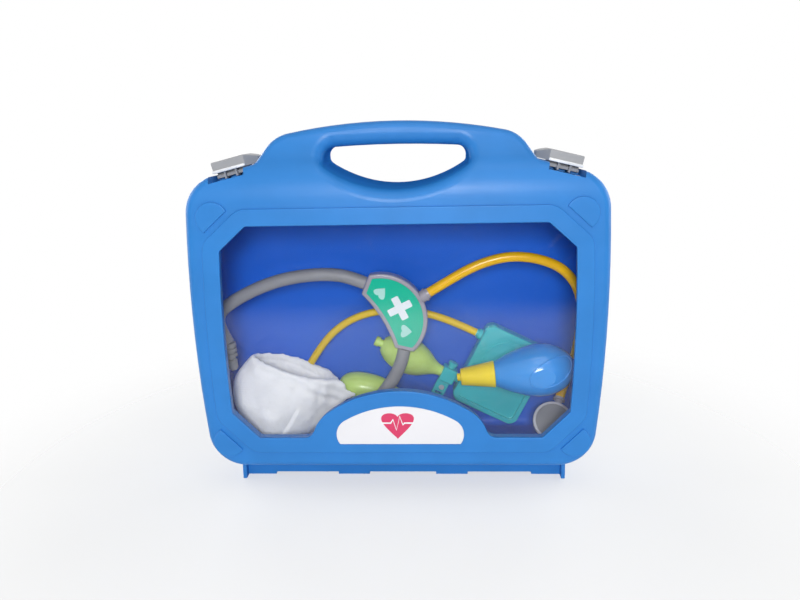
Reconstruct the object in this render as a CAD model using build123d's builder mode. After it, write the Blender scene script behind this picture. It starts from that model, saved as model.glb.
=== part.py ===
"""Toy doctor case: a two-part moulded case with a window, two latches and a heap of toy instruments.

Millimetres.  +Z is up, +X is the right of someone facing the window, and the window looks along -Y.
The two halves part at Y = 0.  The origin is on the ground, under the middle of the standing case.
"""
import os
from math import atan, atan2, cos, degrees, hypot, pi, radians, sin, tan

from build123d import *

os.makedirs("parts", exist_ok=True)

# ---------------------------------------------------------------- driving dimensions
# Case body
body_width = 296.8  # at the fullest height of the bowed sides
half_depth = 38.4  # from the parting plane to the flat front or back
foot_height = 22.3  # ground to the underside of the body
fullest_height = 147.0  # where the bowed sides stand furthest apart
bow_low = 7.1  # how far the sides come in at the underside
bow_high = 3.5  # how far the sides come in at the shoulders
corner_radius = 28.0
wall = 2.2
edge_round = 5.4  # outer edges of both halves
inner_round = 5.0  # inner edges of both halves
raised = 1.6  # height of the window frame and of the corner pads
relief_round = 0.8  # their edges

# Shoulders and handle
shoulder_height = 241.1  # at the middle of a latch
shoulder_angle = 13.7
root_x = 97.5  # where a shoulder meets the handle
root_round = 5.0
handle_top = 273.6
handle_half = 85.7
handle_drop = 9.5  # how far the arched top falls to its ends
handle_round = 24.0
handle_half_depth = 18.8
bend_height = 222.0  # where the front starts to lean back to the handle

# Finger hole
hole_half = 50.5
hole_top = 257.6
hole_bottom = 227.9
hole_top_drop = 1.8
hole_side_bottom = 244.0
hole_flare = 8.5
hole_high_round = 8.0
hole_low_round = 3.5
deep_top = 238.0  # top of the full-depth hollow

# Window, its frame, the arch and the label
window_margin = 23.2  # from the fullest side of the body to the window
window_top = 204.6
window_bottom = 46.8
window_bow = 1.7
chamfer_x = 19.2
chamfer_z = 17.2
low_chamfer_z = 19.8
window_round = 2.5
frame_width = 12.0
arch_half = 65.0
arch_height = 40.0
arch_end = 28.0  # radius of the arch's ends
arch_centre = 43.4
arch_fillet = 8.0
lip = 1.2  # thickness of the frame's lip over the pane
lip_overlap = 1.4
flange_wall = 1.8
flange_depth = 8.8
pane_thickness = 1.5
pane_gap = 0.2
nub_length = 3.0  # half of a pane-holding nub's length
nub_reach = 1.0  # half of its width
nub_thickness = 1.2
label_half = 47.0
label_rise = 22.4
label_end = 13.0
label_centre = 49.4
label_flat = 41.8
label_depth = 1.0
label_thickness = 0.8
label_gap = 0.15
pad_radius = 11.5
pad_offset = 3.0  # from a pad's straight side to its centre
pad_gap = 4.2  # from the frame to a corner pad's straight side

# Hinge rail
pin_height = 3.4  # hinge axis above the ground
pin_radius = 1.1
pin_clearance = 0.1
knuckle_radius = 3.4
knuckle_gap = 0.5
leaf_thickness = 2.3
leaf_gap = 0.5  # from a knuckle to the other half's leaf
rail_half = 126.8
tab_length = 25.0
inner_tab_x = 39.0
strip_bottom = 2.0
tab_top = 5.4
fin_thickness = 2.8
fin_reach = 13.5  # how far the end fins and rear feet stand out from the parting plane
fin_slope = 3.0  # how far a fin narrows to its top
fin_knee = 6.0  # height where it starts to narrow
pin_recess = 0.8  # from the end of the rail to the end of its pin
web_start = 1.9  # height of the webs behind the knuckles, over the hinge axis
rear_foot_places = (40.0, 119.0)

# Latches
latch_x = 118.0
latch_low = -10.8  # outer end, along the shoulder from the latch's middle
latch_high = 13.0  # where the wing starts
wing_end = 20.8
latch_top = 8.7
latch_wall = 1.6
latch_lift = 0.8  # clearance over the shoulders
latch_front = 20.0
latch_lip = 1.5
pivot_y = 9.0
pivot_height = 3.3
barrel_radius = 2.4
pin_play = 0.05  # between a latch and its pin
latch_pin_radius = 1.2
pocket_depth = 4.8
pocket_wall = 1.8
pocket_margin = 0.6
pocket_end = -0.2  # where its walls stop short of the parting plane
rib_places = (-3.1, 5.2)
rib_width = 1.2
hook_front = 13.2
hook_wall = 1.6
hook_low = -2.9
hook_toe = (2.8, 1.9)  # reach and thickness of the hook's toe
rib_low = -4.2
catch_top = -3.3
lug_places = (-8.6, 8.8)
lug_thickness = 2.2
lug_radius = 2.6
pin_fit = 0.02  # between a fixed pin and its lugs
pin_high = 12.2  # inner end of a latch pin
pin_low = 0.5  # from a latch's outer end to the pin's
rib_play = 0.5  # between a rib and the catch beads beside it
lug_play = 0.45
bead_y = (-9.0, -6.0)
roof_back = 4.0  # where the latch's roof starts to fall to the barrel
latch_back = 12.0
latch_round = 0.8
lip_n = (1.0, 2.6)  # the bright lip's height above the shoulder
wing_y = (-9.0, 4.0)
wing_top = 5.4

# Joint between the halves
tongue_gap = 0.3
tongue_thickness = 1.2
tongue_reach = 2.0
tongue_root = 3.0
slip = 0.3  # gap between pieces that rest on one another

# Toy stethoscope: headset
tube_y = 1.1  # depth of the headset's middle
yoke_half_depth = 5.5
yoke_outer = ((-22.6, 161.9), (20.6, 133.0), (10.1, 101.3))
yoke_inner = ((-28.7, 147.4), (-13.5, 127.0), (-4.2, 104.6))
yoke_corner = 1.5
yoke_round = 1.6
yoke_wall = 1.6
badge_margin = 3.2
badge_depth = 0.8
badge_proud = 0.2
badge_gap = 0.1
ear_tube_radius = 5.0
upper_tube_route = [(-25.83, 154.73), (-38.0, 159.9), (-53.0, 162.1), (-72.0, 161.3), (-93.0, 157.6),
                    (-111.5, 150.6), (-126.0, 141.0), (-135.3, 129.5), (-135.8, 117.5), (-134.6, 108.0)]
lower_tube_route = [(2.9, 102.75), (0.2, 90.9), (-6.0, 78.0), (-14.5, 66.0), (-24.5, 55.0), (-35.0, 47.0),
                    (-46.0, 43.5)]
ear_tip_profile = [(0, 5.6), (3, 5.6), (3, 4.4), (4.5, 4.4), (4.5, 5.4), (7, 5.4), (7, 4.2), (8.5, 4.2),
                   (8.5, 5.2), (11, 5.2), (11, 3.6), (13, 3.2), (14, 4.2), (20, 3.8), (22, 2.4)]
collar_start = (14.6, 142.3)
collar_profile = [(0, 5.5), (2, 5.5), (2, 4.6), (5.2, 4.6), (5.2, 5.2), (7, 5.2), (7, 4.4), (9, 4.2)]
collar_socket = 3.0  # distance from the collar's foot to the end of the tube
collar_gap = 0.1  # round the collar in the yoke

# Toy stethoscope: tube and chest piece
steth_tube_radius = 3.75
steth_route_front = [(36.0, 155.5), (56.0, 166.9), (75.5, 173.2), (90.5, 174.0), (105.5, 171.6),
                     (120.5, 165.5)]
steth_route_back = [(131.0, 32.9, 155.0), (137.5, 27.9, 141.0), (139.6, 20.4, 124.0), (138.1, 11.7, 106.5),
                    (138.2, 4.6, 87.5), (133.9, 5.5, 70.9)]  # x, distance off the rear wall, height
chest_radius = 16.0
chest_lean = 40.0
chest_turn = 20.0  # of the stem, from straight up the disc
chest_place = (119.4, 33.9, 41.7)  # x, distance off the rear wall, height
chest_rim = 3.2
chest_band = 2.0  # of the rim, round the diaphragm
chest_steps = (1.5, 6.5)  # how far the body's front and back stand in from the rim
chest_thickness = 9.0
diaphragm_drop = 1.0
diaphragm_gap = 0.15
diaphragm_thickness = 0.8
stem_drop = 6.2
stem_radius = 2.8
stem_length = 21.0
ferrule = (0.9, 2.0)  # how far the stem's end ring stands out from the tube, and its length
last_straight = 9.5  # of the tube, before the stem

# Toy blood pressure set
gauge_width = 57.0
gauge_length = 69.0
gauge_depth = 14.0
gauge_front_depth = 5.0
gauge_wall = 1.8
gauge_turn = -26.4
gauge_place = (79.5, 7.5, 74.6)  # x, distance off the rear wall, height
gauge_corner = 7.0
gauge_rim = 4.0
gauge_recess = 1.2
dial_radius = 20.0
dial_line = 1.6  # width of the dial's raised ring
dial_proud = 0.8
gauge_rounds = (1.5, 1.0)  # edges of the back and of the front
dial_up = 8.0
spout_up = 21.5  # height of the tube spout above the gauge's middle
spout_length = 7.0
spout_depth = 4.6
spout_root = 1.2  # how far the spout's root stands out from the tube
bulb_radius = 14.5
bulb_profile = [(0, 4.2), (5, 5.2), (16, 11.2), (31, bulb_radius), (44, 12.0), (52.5, 5.5)]
nozzle_profile = [(50, 3.2), (55.5, 3.2), (55.5, 4.0), (58.5, 4.0), (59, 3.4)]
valve_side = 12.0
valve_round = 1.2
valve_neck = 3.4  # radius of the neck to the gauge
valve_screw = ((2.6, -1.0, 5.0), (3.8, 2.5, 2.5))  # stem and knob: radius, start above the block, length
valve_link = 3.2  # from the valve block to the gauge
valve_place = (37.0, 74.2)
clip_width = 10.0
clip_length = 13.0
clip_thickness = 3.0
clip_back = -1.0  # of the clip, behind the valve's middle
clip_shift = -0.8  # of the clip's middle from the valve's
clip_slot = (6.0, 2.0)
screw_place = (0.0, -12.2)
screw_radius = 2.2
screw_play = 0.15
screw_sink = 2.0  # from the clip's face to the bottom of its screw hole
screw_height = 1.4
screw_slot = (0.7, 0.5)  # width and depth
cuff_tube_radius = 3.0
cuff_tube_straight = 12.0  # where it leaves the gauge
cuff_route = [(-67.75, 91.7), (-60.5, 104.0), (-47.0, 116.5), (-30.0, 124.5), (-10.0, 127.8), (11.0, 126.6),
              (30.0, 121.8)]
cuff_outline = [(-128.5, 78.0), (-115.0, 105.0), (-88.5, 104.0), (-72.4, 93.6), (-63.4, 89.2), (-53.5, 73.0),
                (-53.5, 40.0), (-60.0, 26.4), (-115.0, 26.4), (-130.5, 45.0)]
# x, distance off the rear wall
cuff_plan = [(-150, -1), (-150, 53.9), (-88, 53.9), (-60, 24.7), (-30, 24.7), (-30, -1)]
flap_outline = [(-60.0, 80.0), (-40.5, 62.0), (-43.0, 46.0), (-60.0, 42.0)]
flap_depth = (28.3, 24.3)  # off the rear wall
cuff_side = [(0, 31), (5.5, 26.4), (80, 26.4), (80, 200), (0, 200)]  # off the rear wall, height

# Toy ear syringe
syringe_radius = 12.0
syringe_place = (-52.0, 66.5)
syringe_turn = -12.0
syringe_profile = [(0, 1.5), (3, 7.0), (14, 11.6), (24, syringe_radius), (38, 9.6), (47, 5.4), (53, 4.6)]
syringe_tip_profile = [(0, 5.4), (3, 5.4), (5, 3.8), (24, 2.0), (26, 1.2)]

# Toy otoscope
otoscope_place = (43.0, 41.8, 81.5)  # x, distance off the rear wall, height
otoscope_tilt = 5.1
cone_length = 29.0
cone_profile = [(0, 2.0), (0.6, 2.6), (3, 2.6), (3, 3.8), (4.5, 4.4), (24, 8.4), (24, 9.2),
                (cone_length - slip, 9.2)]
egg_radius = 20.0
egg_profile = [(0, 9.4), (8, 13.4), (24, 18.8), (38, egg_radius), (52, 15.0), (61, 4.0)]
egg_inner_profile = [(1.8, 7.9), (8, 11.5), (24, 16.8), (38, 18.0), (51, 13.2), (58.5, 3.0)]
finger_pad_depth = 19.0
finger_pad_place = (63.0, -2.0)
finger_pad_size = (15.0, 9.0)

# ---------------------------------------------------------------- derived sizes
half_width = body_width / 2
window_half = half_width - window_margin
frame_front = half_depth + raised
inner_depth = half_depth - wall
pane_front = frame_front - lip
leaf_face = knuckle_radius + leaf_gap
leaf_back = leaf_face + leaf_thickness
rear_leaf_bottom = 2 * pin_height + leaf_gap  # clears the front leaf when the lid lies flat
lean_back = half_depth - handle_half_depth
lean_height = handle_top - bend_height
lean_angle = 2 * degrees(atan(lean_back / lean_height))
lean_radius = lean_back / (2 * (1 - cos(radians(lean_angle))))
shoulder_run = (cos(radians(shoulder_angle)), sin(radians(shoulder_angle)))
nub_front = pane_thickness - pane_front + slip
nub_y = (nub_front, nub_front + nub_thickness)
nub_side = window_half + lip_overlap
nub_top = window_top + lip_overlap
nub_bottom = window_bottom - lip_overlap
nub_places = [(x, nub_top, True) for x in (-80, 0, 80)] + [(x, nub_bottom, True) for x in (-85, 85)]
nub_places += [(x, (window_top + window_bottom) / 2, False) for x in (-nub_side, nub_side)]
rest_y = inner_depth - slip  # back of whatever lies against the rear wall
FRONT = (0, -1, 0)
# The right latch's frame: x runs up the shoulder to the handle, y stands on the shoulder, z is +Y.
shoulder_plane = Plane(origin=(latch_x, 0, shoulder_height), x_dir=(-shoulder_run[0], 0, shoulder_run[1]),
                       z_dir=(0, 1, 0))
latch_plan = Plane(origin=shoulder_plane.origin, x_dir=shoulder_plane.x_dir, z_dir=shoulder_plane.y_dir)
# Cross-section of the right latch: x is +Y, y stands on the shoulder, z runs down the shoulder.
latch_section = Plane(origin=(latch_x, 0, shoulder_height), x_dir=(0, 1, 0),
                      z_dir=(shoulder_run[0], 0, -shoulder_run[1]))


# ---------------------------------------------------------------- helpers
def near(shapes, points, reach=1.0):
    """The shapes whose centres lie within reach of one of the points."""
    return ShapeList(s for s in shapes if any((s.center() - Vector(*p)).length < reach for p in points))


def finish(part, name):
    """Label a finished piece and write its STEP file."""
    part.label = name
    export_step(part, f"parts/{name}.step")


def slab(outline, front_y, back_y, mode=Mode.ADD):
    """Within a part: an outline seen from the front, made solid between two depths."""
    with BuildSketch(Plane.XZ.offset(-back_y)) as face:
        add(outline)
    extrude(face.sketch, amount=back_y - front_y, dir=FRONT, mode=mode)


def block(x, y, z, mode=Mode.ADD):
    """Within a part: a block between two x, two y and two z values."""
    with Locations((x[0], y[0], z[0])):
        Box(x[1] - x[0], y[1] - y[0], z[1] - z[0], align=(Align.MIN, Align.MIN, Align.MIN), mode=mode)


def rod(x, radius, mode=Mode.ADD):
    """Within a part: a round bar on the hinge line between two x values."""
    with Locations((x[0], 0, pin_height)):
        Cylinder(radius, x[1] - x[0], rotation=(0, 90, 0), align=(Align.CENTER, Align.CENTER, Align.MIN),
                 mode=mode)


def both(spans):
    """Spans of x on the right, and their mirror images."""
    return [*spans, *[(-high, -low) for low, high in spans]]


def facing(x, y, z, turn=0.0):
    """A plane that faces the window, its x axis turned up by some degrees."""
    return Plane(origin=(x, y, z), x_dir=(cos(radians(turn)), 0, sin(radians(turn))), z_dir=FRONT)


def along(start, way):
    """A plane whose x axis runs from start in a direction."""
    return Plane(origin=start, x_dir=way, z_dir=Vector(*way).cross(Vector(0, 0, 1)))


def half_outline(points, smooth=True):
    """Half outline of a turned piece, from pairs of distance along the axis and radius."""
    with BuildSketch() as outline:
        with BuildLine():
            rim = Spline(*points) if smooth else Polyline(*points)
            Polyline(rim @ 1, (points[-1][0], 0), (points[0][0], 0), rim @ 0)
        make_face()
    return outline.sketch


def turned(plane, outline):
    """A solid turned about the x axis of a plane."""
    with BuildPart() as solid:
        with BuildSketch(plane):
            add(outline)
        revolve(axis=Axis(plane.origin, plane.x_dir))
    return solid.part


def bend_radii(points):
    """Bend radius at each inner point of a tube's route, from the shorter of its two runs."""
    radii = []
    for before, here, after in zip(points, points[1:], points[2:]):
        arrive = Vector(*here) - Vector(*before)
        leave = Vector(*after) - Vector(*here)
        half_turn = radians(arrive.get_angle(leave)) / 2
        radii.append(0.45 * min(arrive.length, leave.length) / tan(half_turn))
    return radii


def tube_along(points, radius):
    """A round tube of straight runs joined by tangent arcs, and its length."""
    with BuildPart() as tube:
        with BuildLine():
            line = FilletPolyline(*points, radius=bend_radii(points))
        with BuildSketch(Plane(origin=line @ 0, z_dir=line % 0)):
            Circle(radius)
        sweep()
    return tube.part, line.length


def left_of(part):
    """The mirror image of a right-hand piece."""
    return mirror(part, about=Plane.YZ)


def shoulder_z(x):
    """Height of the shoulder above the ground at x."""
    return shoulder_height - (x - latch_x) * tan(radians(shoulder_angle))


def front_rim(part):
    """The edges round the front of a half, without its straight seams."""
    rim = part.edges().filter_by(lambda e: e.center().Y < -8)
    rim = rim - rim.filter_by(Axis.Y)
    return rim - rim.filter_by(Axis.X).filter_by(lambda e: e.center().Z > foot_height + wall + 1)


# ---------------------------------------------------------------- outlines, seen from the front (x, height)
def oval(half_long, half_high, end_radius):
    """An oval of four arcs with small arcs at its ends."""
    crown = (half_long**2 - 2 * half_long * end_radius + half_high**2) / (2 * (half_high - end_radius))
    way = Vector(half_long - end_radius, crown - half_high).normalized()
    join = Vector(0, half_high - crown) + way * crown
    with BuildSketch() as outline:
        with BuildLine():
            for side in (1, -1):
                ThreePointArc((-join.X, side * join.Y), (0, side * half_high), (join.X, side * join.Y))
                ThreePointArc((side * join.X, join.Y), (side * half_long, 0), (side * join.X, -join.Y))
        make_face()
    return outline.sketch


def case_outline(inset=0.0):
    """Front view of the body with its handle."""
    foot_x = half_width - bow_low
    top_x = half_width - bow_high
    foot = (foot_x, foot_height)
    shoulder = (top_x, shoulder_z(top_x))
    root = (root_x, shoulder_z(root_x))
    grip = (handle_half, handle_top - handle_drop)
    with BuildSketch() as outline:
        with BuildLine():
            Line((-foot_x, foot_height), foot)
            for side in (1, -1):
                ThreePointArc((side * foot[0], foot[1]), (side * half_width, fullest_height),
                              (side * shoulder[0], shoulder[1]))
                Polyline(*[(side * x, z) for x, z in (shoulder, root, grip)])
            ThreePointArc((-grip[0], grip[1]), (0, handle_top), grip)
        make_face()
        for (x, z), radius in ((foot, corner_radius), (shoulder, corner_radius), (root, root_round),
                               (grip, handle_round)):
            fillet(near(outline.vertices(), [(x, z), (-x, z)]), radius)
        if inset:
            offset(amount=-inset)
    return outline.sketch


def hole_outline(outset=0.0):
    """The finger hole: a flat arch over a deep bowl."""
    top_end = hole_top - hole_top_drop
    with BuildSketch() as outline:
        with BuildLine():
            ThreePointArc((-hole_half, top_end), (0, hole_top), (hole_half, top_end))
            Line((hole_half, top_end), (hole_half, hole_side_bottom))
            ThreePointArc((hole_half, hole_side_bottom), (0, hole_bottom), (-hole_half, hole_side_bottom))
            Line((-hole_half, hole_side_bottom), (-hole_half, top_end))
        make_face()
        fillet(near(outline.vertices(), [(-hole_half, top_end), (hole_half, top_end)]), hole_high_round)
        fillet(near(outline.vertices(), [(-hole_half, hole_side_bottom), (hole_half, hole_side_bottom)]),
               hole_low_round)
        if outset:
            offset(amount=outset)
    return outline.sketch


def window_outline(outset=0.0, arch=True):
    """The octagonal window with bowed sides, less the arch."""
    side_x = window_half - window_bow
    top_x = side_x - chamfer_x
    middle = (window_half, (window_top + window_bottom) / 2)
    high = (side_x, window_top - chamfer_z)
    low = (side_x, window_bottom + low_chamfer_z)
    with BuildSketch() as outline:
        with BuildLine():
            for z in (window_top, window_bottom):
                Line((-top_x, z), (top_x, z))
            for side in (1, -1):
                ends = [(side * x, z) for x, z in (high, middle, low)]
                Line((side * top_x, window_top), ends[0])
                ThreePointArc(*ends)
                Line(ends[2], (side * top_x, window_bottom))
        make_face()
        fillet(outline.vertices(), window_round)
        if arch:
            with Locations((0, arch_centre)):
                add(oval(arch_half, arch_height, arch_end), mode=Mode.SUBTRACT)
            low = outline.vertices().filter_by(lambda v: v.Y < window_bottom + 0.01)
            fillet(low.filter_by(lambda v: abs(v.X) < arch_half + 1), arch_fillet)
        if outset:
            offset(amount=outset)
    return outline.sketch


def label_outline(inset=0.0):
    """An ellipse with a flat foot."""
    with BuildSketch() as outline:
        with Locations((0, label_centre)):
            add(oval(label_half, label_rise, label_end))
        with Locations((0, label_flat)):
            Rectangle(3 * label_half, 3 * label_rise, align=(Align.CENTER, Align.MAX), mode=Mode.SUBTRACT)
        if inset:
            offset(amount=-inset)
    return outline.sketch


def case_section(inset):
    """The case's outline less the finger hole, moved in from the outside."""
    with BuildSketch() as outline:
        add(case_outline(inset))
        add(hole_outline(inset), mode=Mode.SUBTRACT)
    return outline.sketch


def pad_outlines():
    """The four corner pads: discs cut straight along the frame."""
    side_x = window_half - window_bow
    with BuildSketch() as outline:
        for top, chamfer, up in ((window_top, chamfer_z, 1), (window_bottom, low_chamfer_z, -1)):
            run = hypot(chamfer_x, chamfer)
            out = Vector(chamfer, up * chamfer_x) / run
            middle = Vector(side_x - chamfer_x / 2, top - up * chamfer / 2) + out * (frame_width + pad_gap)
            angle = degrees(atan2(out.Y, out.X))
            with BuildSketch(mode=Mode.PRIVATE) as pad:
                with Locations(middle + out * pad_offset):
                    Circle(pad_radius)
                with Locations(Location((middle.X, middle.Y, 0), (0, 0, angle))):
                    Rectangle(4 * pad_radius, 4 * pad_radius, align=(Align.MIN, Align.CENTER),
                              mode=Mode.INTERSECT)
            add(pad.sketch)
        mirror(about=Plane.YZ)
    return outline.sketch


def side_profile(inset=0.0):
    """Side view (y, height) of the front half: flat, then a double bend back to the thinner handle."""
    front = half_depth - inset
    with BuildSketch() as outline:
        with BuildLine():
            rise = Line((-front, 0), (-front, bend_height))
            back = JernArc(rise @ 1, rise % 1, lean_radius - inset, -lean_angle)
            up = JernArc(back @ 1, back % 1, lean_radius + inset, lean_angle)
            Polyline(up @ 1, (up @ 1) + Vector(0, 10), (0, handle_top + 10), (0, 0), (-front, 0))
        make_face()
    return outline.sketch


# ---------------------------------------------------------------- the moulded half that both shells share
def half_solid():
    """Outer form of the front half: outline, leaning top, rounded edges and the flared finger hole."""
    with BuildPart() as solid:
        with BuildSketch(Plane.XZ):
            add(case_outline())
        extrude(amount=half_depth + 1)
        with BuildSketch(Plane.YZ):
            add(side_profile())
        extrude(amount=body_width, both=True, mode=Mode.INTERSECT)
        fillet(front_rim(solid), edge_round)
        with BuildSketch(Plane.XZ):
            add(hole_outline())
        extrude(amount=half_depth + 1, mode=Mode.SUBTRACT)
        mouth = front_rim(solid).filter_by(
            lambda e: abs(e.center().X) < hole_half + 1 and hole_bottom - 1 < e.center().Z < hole_top + 1)
        fillet(mouth, hole_flare)
    return solid.part


def half_hollow():
    """The hollow of the front half: the whole depth in the body, shallow in the handle."""
    with BuildPart() as hollow:
        with BuildSketch(Plane.XZ):
            add(case_outline(wall))
            add(hole_outline(hole_flare + wall), mode=Mode.SUBTRACT)
            with Locations((0, deep_top)):
                Rectangle(body_width, handle_top, align=(Align.CENTER, Align.MIN), mode=Mode.SUBTRACT)
        extrude(amount=half_depth)
        with BuildSketch(Plane.YZ):
            add(side_profile(wall))
        extrude(amount=body_width, both=True, mode=Mode.INTERSECT)
        fillet(front_rim(hollow), inner_round)
        with BuildSketch(Plane.XZ):
            add(case_outline(wall))
            add(hole_outline(wall), mode=Mode.SUBTRACT)
        extrude(amount=handle_half_depth - hole_flare - slip)
    return hollow.part


half = half_solid()
hollow = half_hollow()

# ---------------------------------------------------------------- hinge rail
half_tab = tab_length / 2
tabs = both([(inner_tab_x - half_tab, inner_tab_x + half_tab), (rail_half - tab_length, rail_half)])
middle_knuckle = inner_tab_x - half_tab - knuckle_gap
knuckles = both([(inner_tab_x + half_tab + knuckle_gap, rail_half - tab_length - knuckle_gap)])
knuckles.append((-middle_knuckle, middle_knuckle))
fins = both([(rail_half - fin_thickness, rail_half)])
bore_radius = pin_radius + pin_clearance
rail_top = foot_height + wall / 2


# ---------------------------------------------------------------- latch pockets
def shoulder_block(s, n, y):
    """Within a part: a block on the right shoulder between two values along it, off it and in depth."""
    with BuildSketch(shoulder_plane.offset(y[0])) as face:
        with Locations((s[0], n[0])):
            Rectangle(s[1] - s[0], n[1] - n[0], align=(Align.MIN, Align.MIN))
    return extrude(face.sketch, amount=y[1] - y[0], dir=(0, 1, 0), mode=Mode.PRIVATE)


pocket_s = (latch_low - pocket_margin, latch_high + pocket_margin)
pocket_outer_s = (pocket_s[0] - pocket_wall, pocket_s[1] + pocket_wall)
pocket_low = -pocket_depth - pocket_wall
bead_breaks = [place + side * (rib_width / 2 + rib_play) for place in rib_places for side in (-1, 1)]
bead_ends = [pocket_s[0], *bead_breaks, pocket_s[1]]
bead_spans = list(zip(bead_ends[0::2], bead_ends[1::2]))

with BuildPart() as pocket_shell:
    add(shoulder_block(pocket_outer_s, (pocket_low, 2), (-frame_front, pocket_end)))
    add(half, mode=Mode.INTERSECT)

# ---------------------------------------------------------------- front cover
with BuildPart() as front_cover:
    add(half)
    slab(window_outline(frame_width, arch=False), -frame_front, wall / 2 - half_depth)
    slab(pad_outlines(), -frame_front, wall / 2 - half_depth)
    fillet(front_cover.edges().filter_by(lambda e: e.center().Y < 0.01 - frame_front), relief_round)
    add(hollow, mode=Mode.SUBTRACT)
    slab(window_outline(lip_overlap + flange_wall), -pane_front, flange_depth - pane_front)
    slab(window_outline(lip_overlap), -pane_front, -half_depth / 2, Mode.SUBTRACT)
    slab(window_outline(), -frame_front - 1, -half_depth / 2, Mode.SUBTRACT)
    sight_edges = front_cover.edges(Select.LAST).filter_by(lambda e: e.center().Y < 0.01 - frame_front)
    fillet(sight_edges, relief_round)
    slab(label_outline(), -frame_front - 1, label_depth - frame_front, Mode.SUBTRACT)
    for x, z, wide in nub_places:
        long_x, long_z = (nub_length, nub_reach) if wide else (nub_reach, nub_length)
        block((x - long_x, x + long_x), nub_y, (z - long_z, z + long_z))
    for pocket in (pocket_shell.part, left_of(pocket_shell.part)):
        add(pocket)
    pocket_cut = shoulder_block(pocket_s, (-pocket_depth, 30), (-frame_front - 1, 1))
    for cut in (pocket_cut, left_of(pocket_cut)):
        add(cut, mode=Mode.SUBTRACT)
    for span in bead_spans:
        bead = shoulder_block(span, (-pocket_depth - 0.5, catch_top), bead_y)
        add(bead)
        add(left_of(bead))
    block((-rail_half, rail_half), (-leaf_back, -leaf_face), (strip_bottom, rail_top))
    for span in tabs:
        block(span, (-leaf_back, 0), (0, tab_top))
        rod(span, knuckle_radius)
    for span in fins:
        with BuildSketch(Plane.YZ.offset(span[0])) as fin:
            Polygon((-leaf_face, 0), (-leaf_face, rail_top), (fin_slope - fin_reach, rail_top),
                    (-fin_reach, fin_knee), (-fin_reach, 0), align=None)
        extrude(fin.sketch, amount=fin_thickness, dir=(1, 0, 0))
    for span in tabs:
        rod(span, bore_radius, Mode.SUBTRACT)
finish(front_cover.part, "front_cover")

# ---------------------------------------------------------------- rear shell
with BuildPart() as lug:
    for place in lug_places:
        with BuildSketch(latch_section.offset(-place - lug_thickness / 2)) as face:
            with Locations((pivot_y, pivot_height)):
                Circle(lug_radius)
                Rectangle(2 * lug_radius, pivot_height + 1, align=(Align.CENTER, Align.MAX))
                Circle(latch_pin_radius + pin_fit, mode=Mode.SUBTRACT)
        extrude(amount=lug_thickness)

with BuildPart() as rear_shell:
    add(mirror(half, about=Plane.XZ))
    slab(pad_outlines(), half_depth - wall / 2, frame_front)
    fillet(rear_shell.edges().filter_by(lambda e: e.center().Y > frame_front - 0.01), relief_round)
    add(mirror(hollow, about=Plane.XZ), mode=Mode.SUBTRACT)
    tongue_inner = wall + tongue_gap + tongue_thickness
    with BuildSketch() as tongue:
        add(case_section(wall + tongue_gap))
        add(case_section(tongue_inner), mode=Mode.SUBTRACT)
    with BuildSketch() as root:
        add(case_section(wall / 2))
        add(case_section(tongue_inner), mode=Mode.SUBTRACT)
    slab(root.sketch, 0, tongue_root)
    slab(tongue.sketch, -tongue_reach, tongue_root)
    clearance = shoulder_block((pocket_outer_s[0] - 0.5, pocket_outer_s[1] + 0.5), (pocket_low - 1, 2),
                               (-tongue_reach - 1, 0))
    closure = shoulder_block(pocket_outer_s, (pocket_low, -wall / 2), (0, pocket_wall))
    for side in (lambda part: part, left_of):
        add(side(clearance), mode=Mode.SUBTRACT)
        add(side(closure))
        add(side(lug.part))
    block((-rail_half, rail_half), (leaf_face, leaf_back), (rear_leaf_bottom, rail_top))
    for span in knuckles:
        block(span, (0, leaf_back), (pin_height + web_start, rear_leaf_bottom + 1))
        rod(span, knuckle_radius)
    for x in rear_foot_places:
        for low, high in both([(x - fin_thickness / 2, x + fin_thickness / 2)]):
            block((low, high), (leaf_face, fin_reach), (rear_leaf_bottom, rail_top))
            block((low, high), (leaf_back + 1, fin_reach), (0, rear_leaf_bottom + 1))
    for span in knuckles:
        rod(span, bore_radius, Mode.SUBTRACT)
finish(rear_shell.part, "rear_shell")

# ---------------------------------------------------------------- window pane, label plate, hinge pin
with BuildPart() as window_pane:
    slab(window_outline(lip_overlap - pane_gap), -pane_front, pane_thickness - pane_front)
finish(window_pane.part, "window_pane")

with BuildPart() as label_plate:
    label_y = label_depth - frame_front
    slab(label_outline(label_gap), label_y - label_thickness, label_y)
finish(label_plate.part, "label_plate")

with BuildPart() as hinge_pin:
    rod((pin_recess - rail_half, rail_half - pin_recess), pin_radius)
finish(hinge_pin.part, "hinge_pin")

# ---------------------------------------------------------------- latches
with BuildPart() as cap:
    with BuildSketch(latch_section.offset(-wing_end)):
        with Locations((-latch_front, latch_lift)):
            Rectangle(latch_front + roof_back, latch_top - latch_lift, align=(Align.MIN, Align.MIN))
        with Locations((pivot_y, pivot_height)):
            Circle(barrel_radius)
        make_hull()
    extrude(amount=wing_end - latch_low)
    with BuildSketch(latch_plan):
        Polygon((latch_low, latch_front), (latch_high, latch_front), (wing_end, -wing_y[0]),
                (wing_end, -wing_y[1]), (latch_high, -latch_back), (latch_low, -latch_back), align=None)
    extrude(amount=2 * latch_top, mode=Mode.INTERSECT)
    with BuildSketch(shoulder_plane.offset(-latch_front - 1)):
        Polygon((latch_low, 0), (wing_end, 0), (wing_end, wing_top), (latch_high, latch_top),
                (latch_low, latch_top), align=None)
    extrude(amount=2 * latch_front, mode=Mode.INTERSECT)
    underside = cap.faces().sort_by(Axis((0, 0, 0), latch_plan.z_dir))[0]
    fillet((cap.edges() - underside.edges()).filter_by(lambda e: e.center().Y < pivot_y), latch_round)
    underside = cap.faces().sort_by(Axis((0, 0, 0), latch_plan.z_dir))[0]
    offset(amount=-latch_wall, openings=underside)

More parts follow.
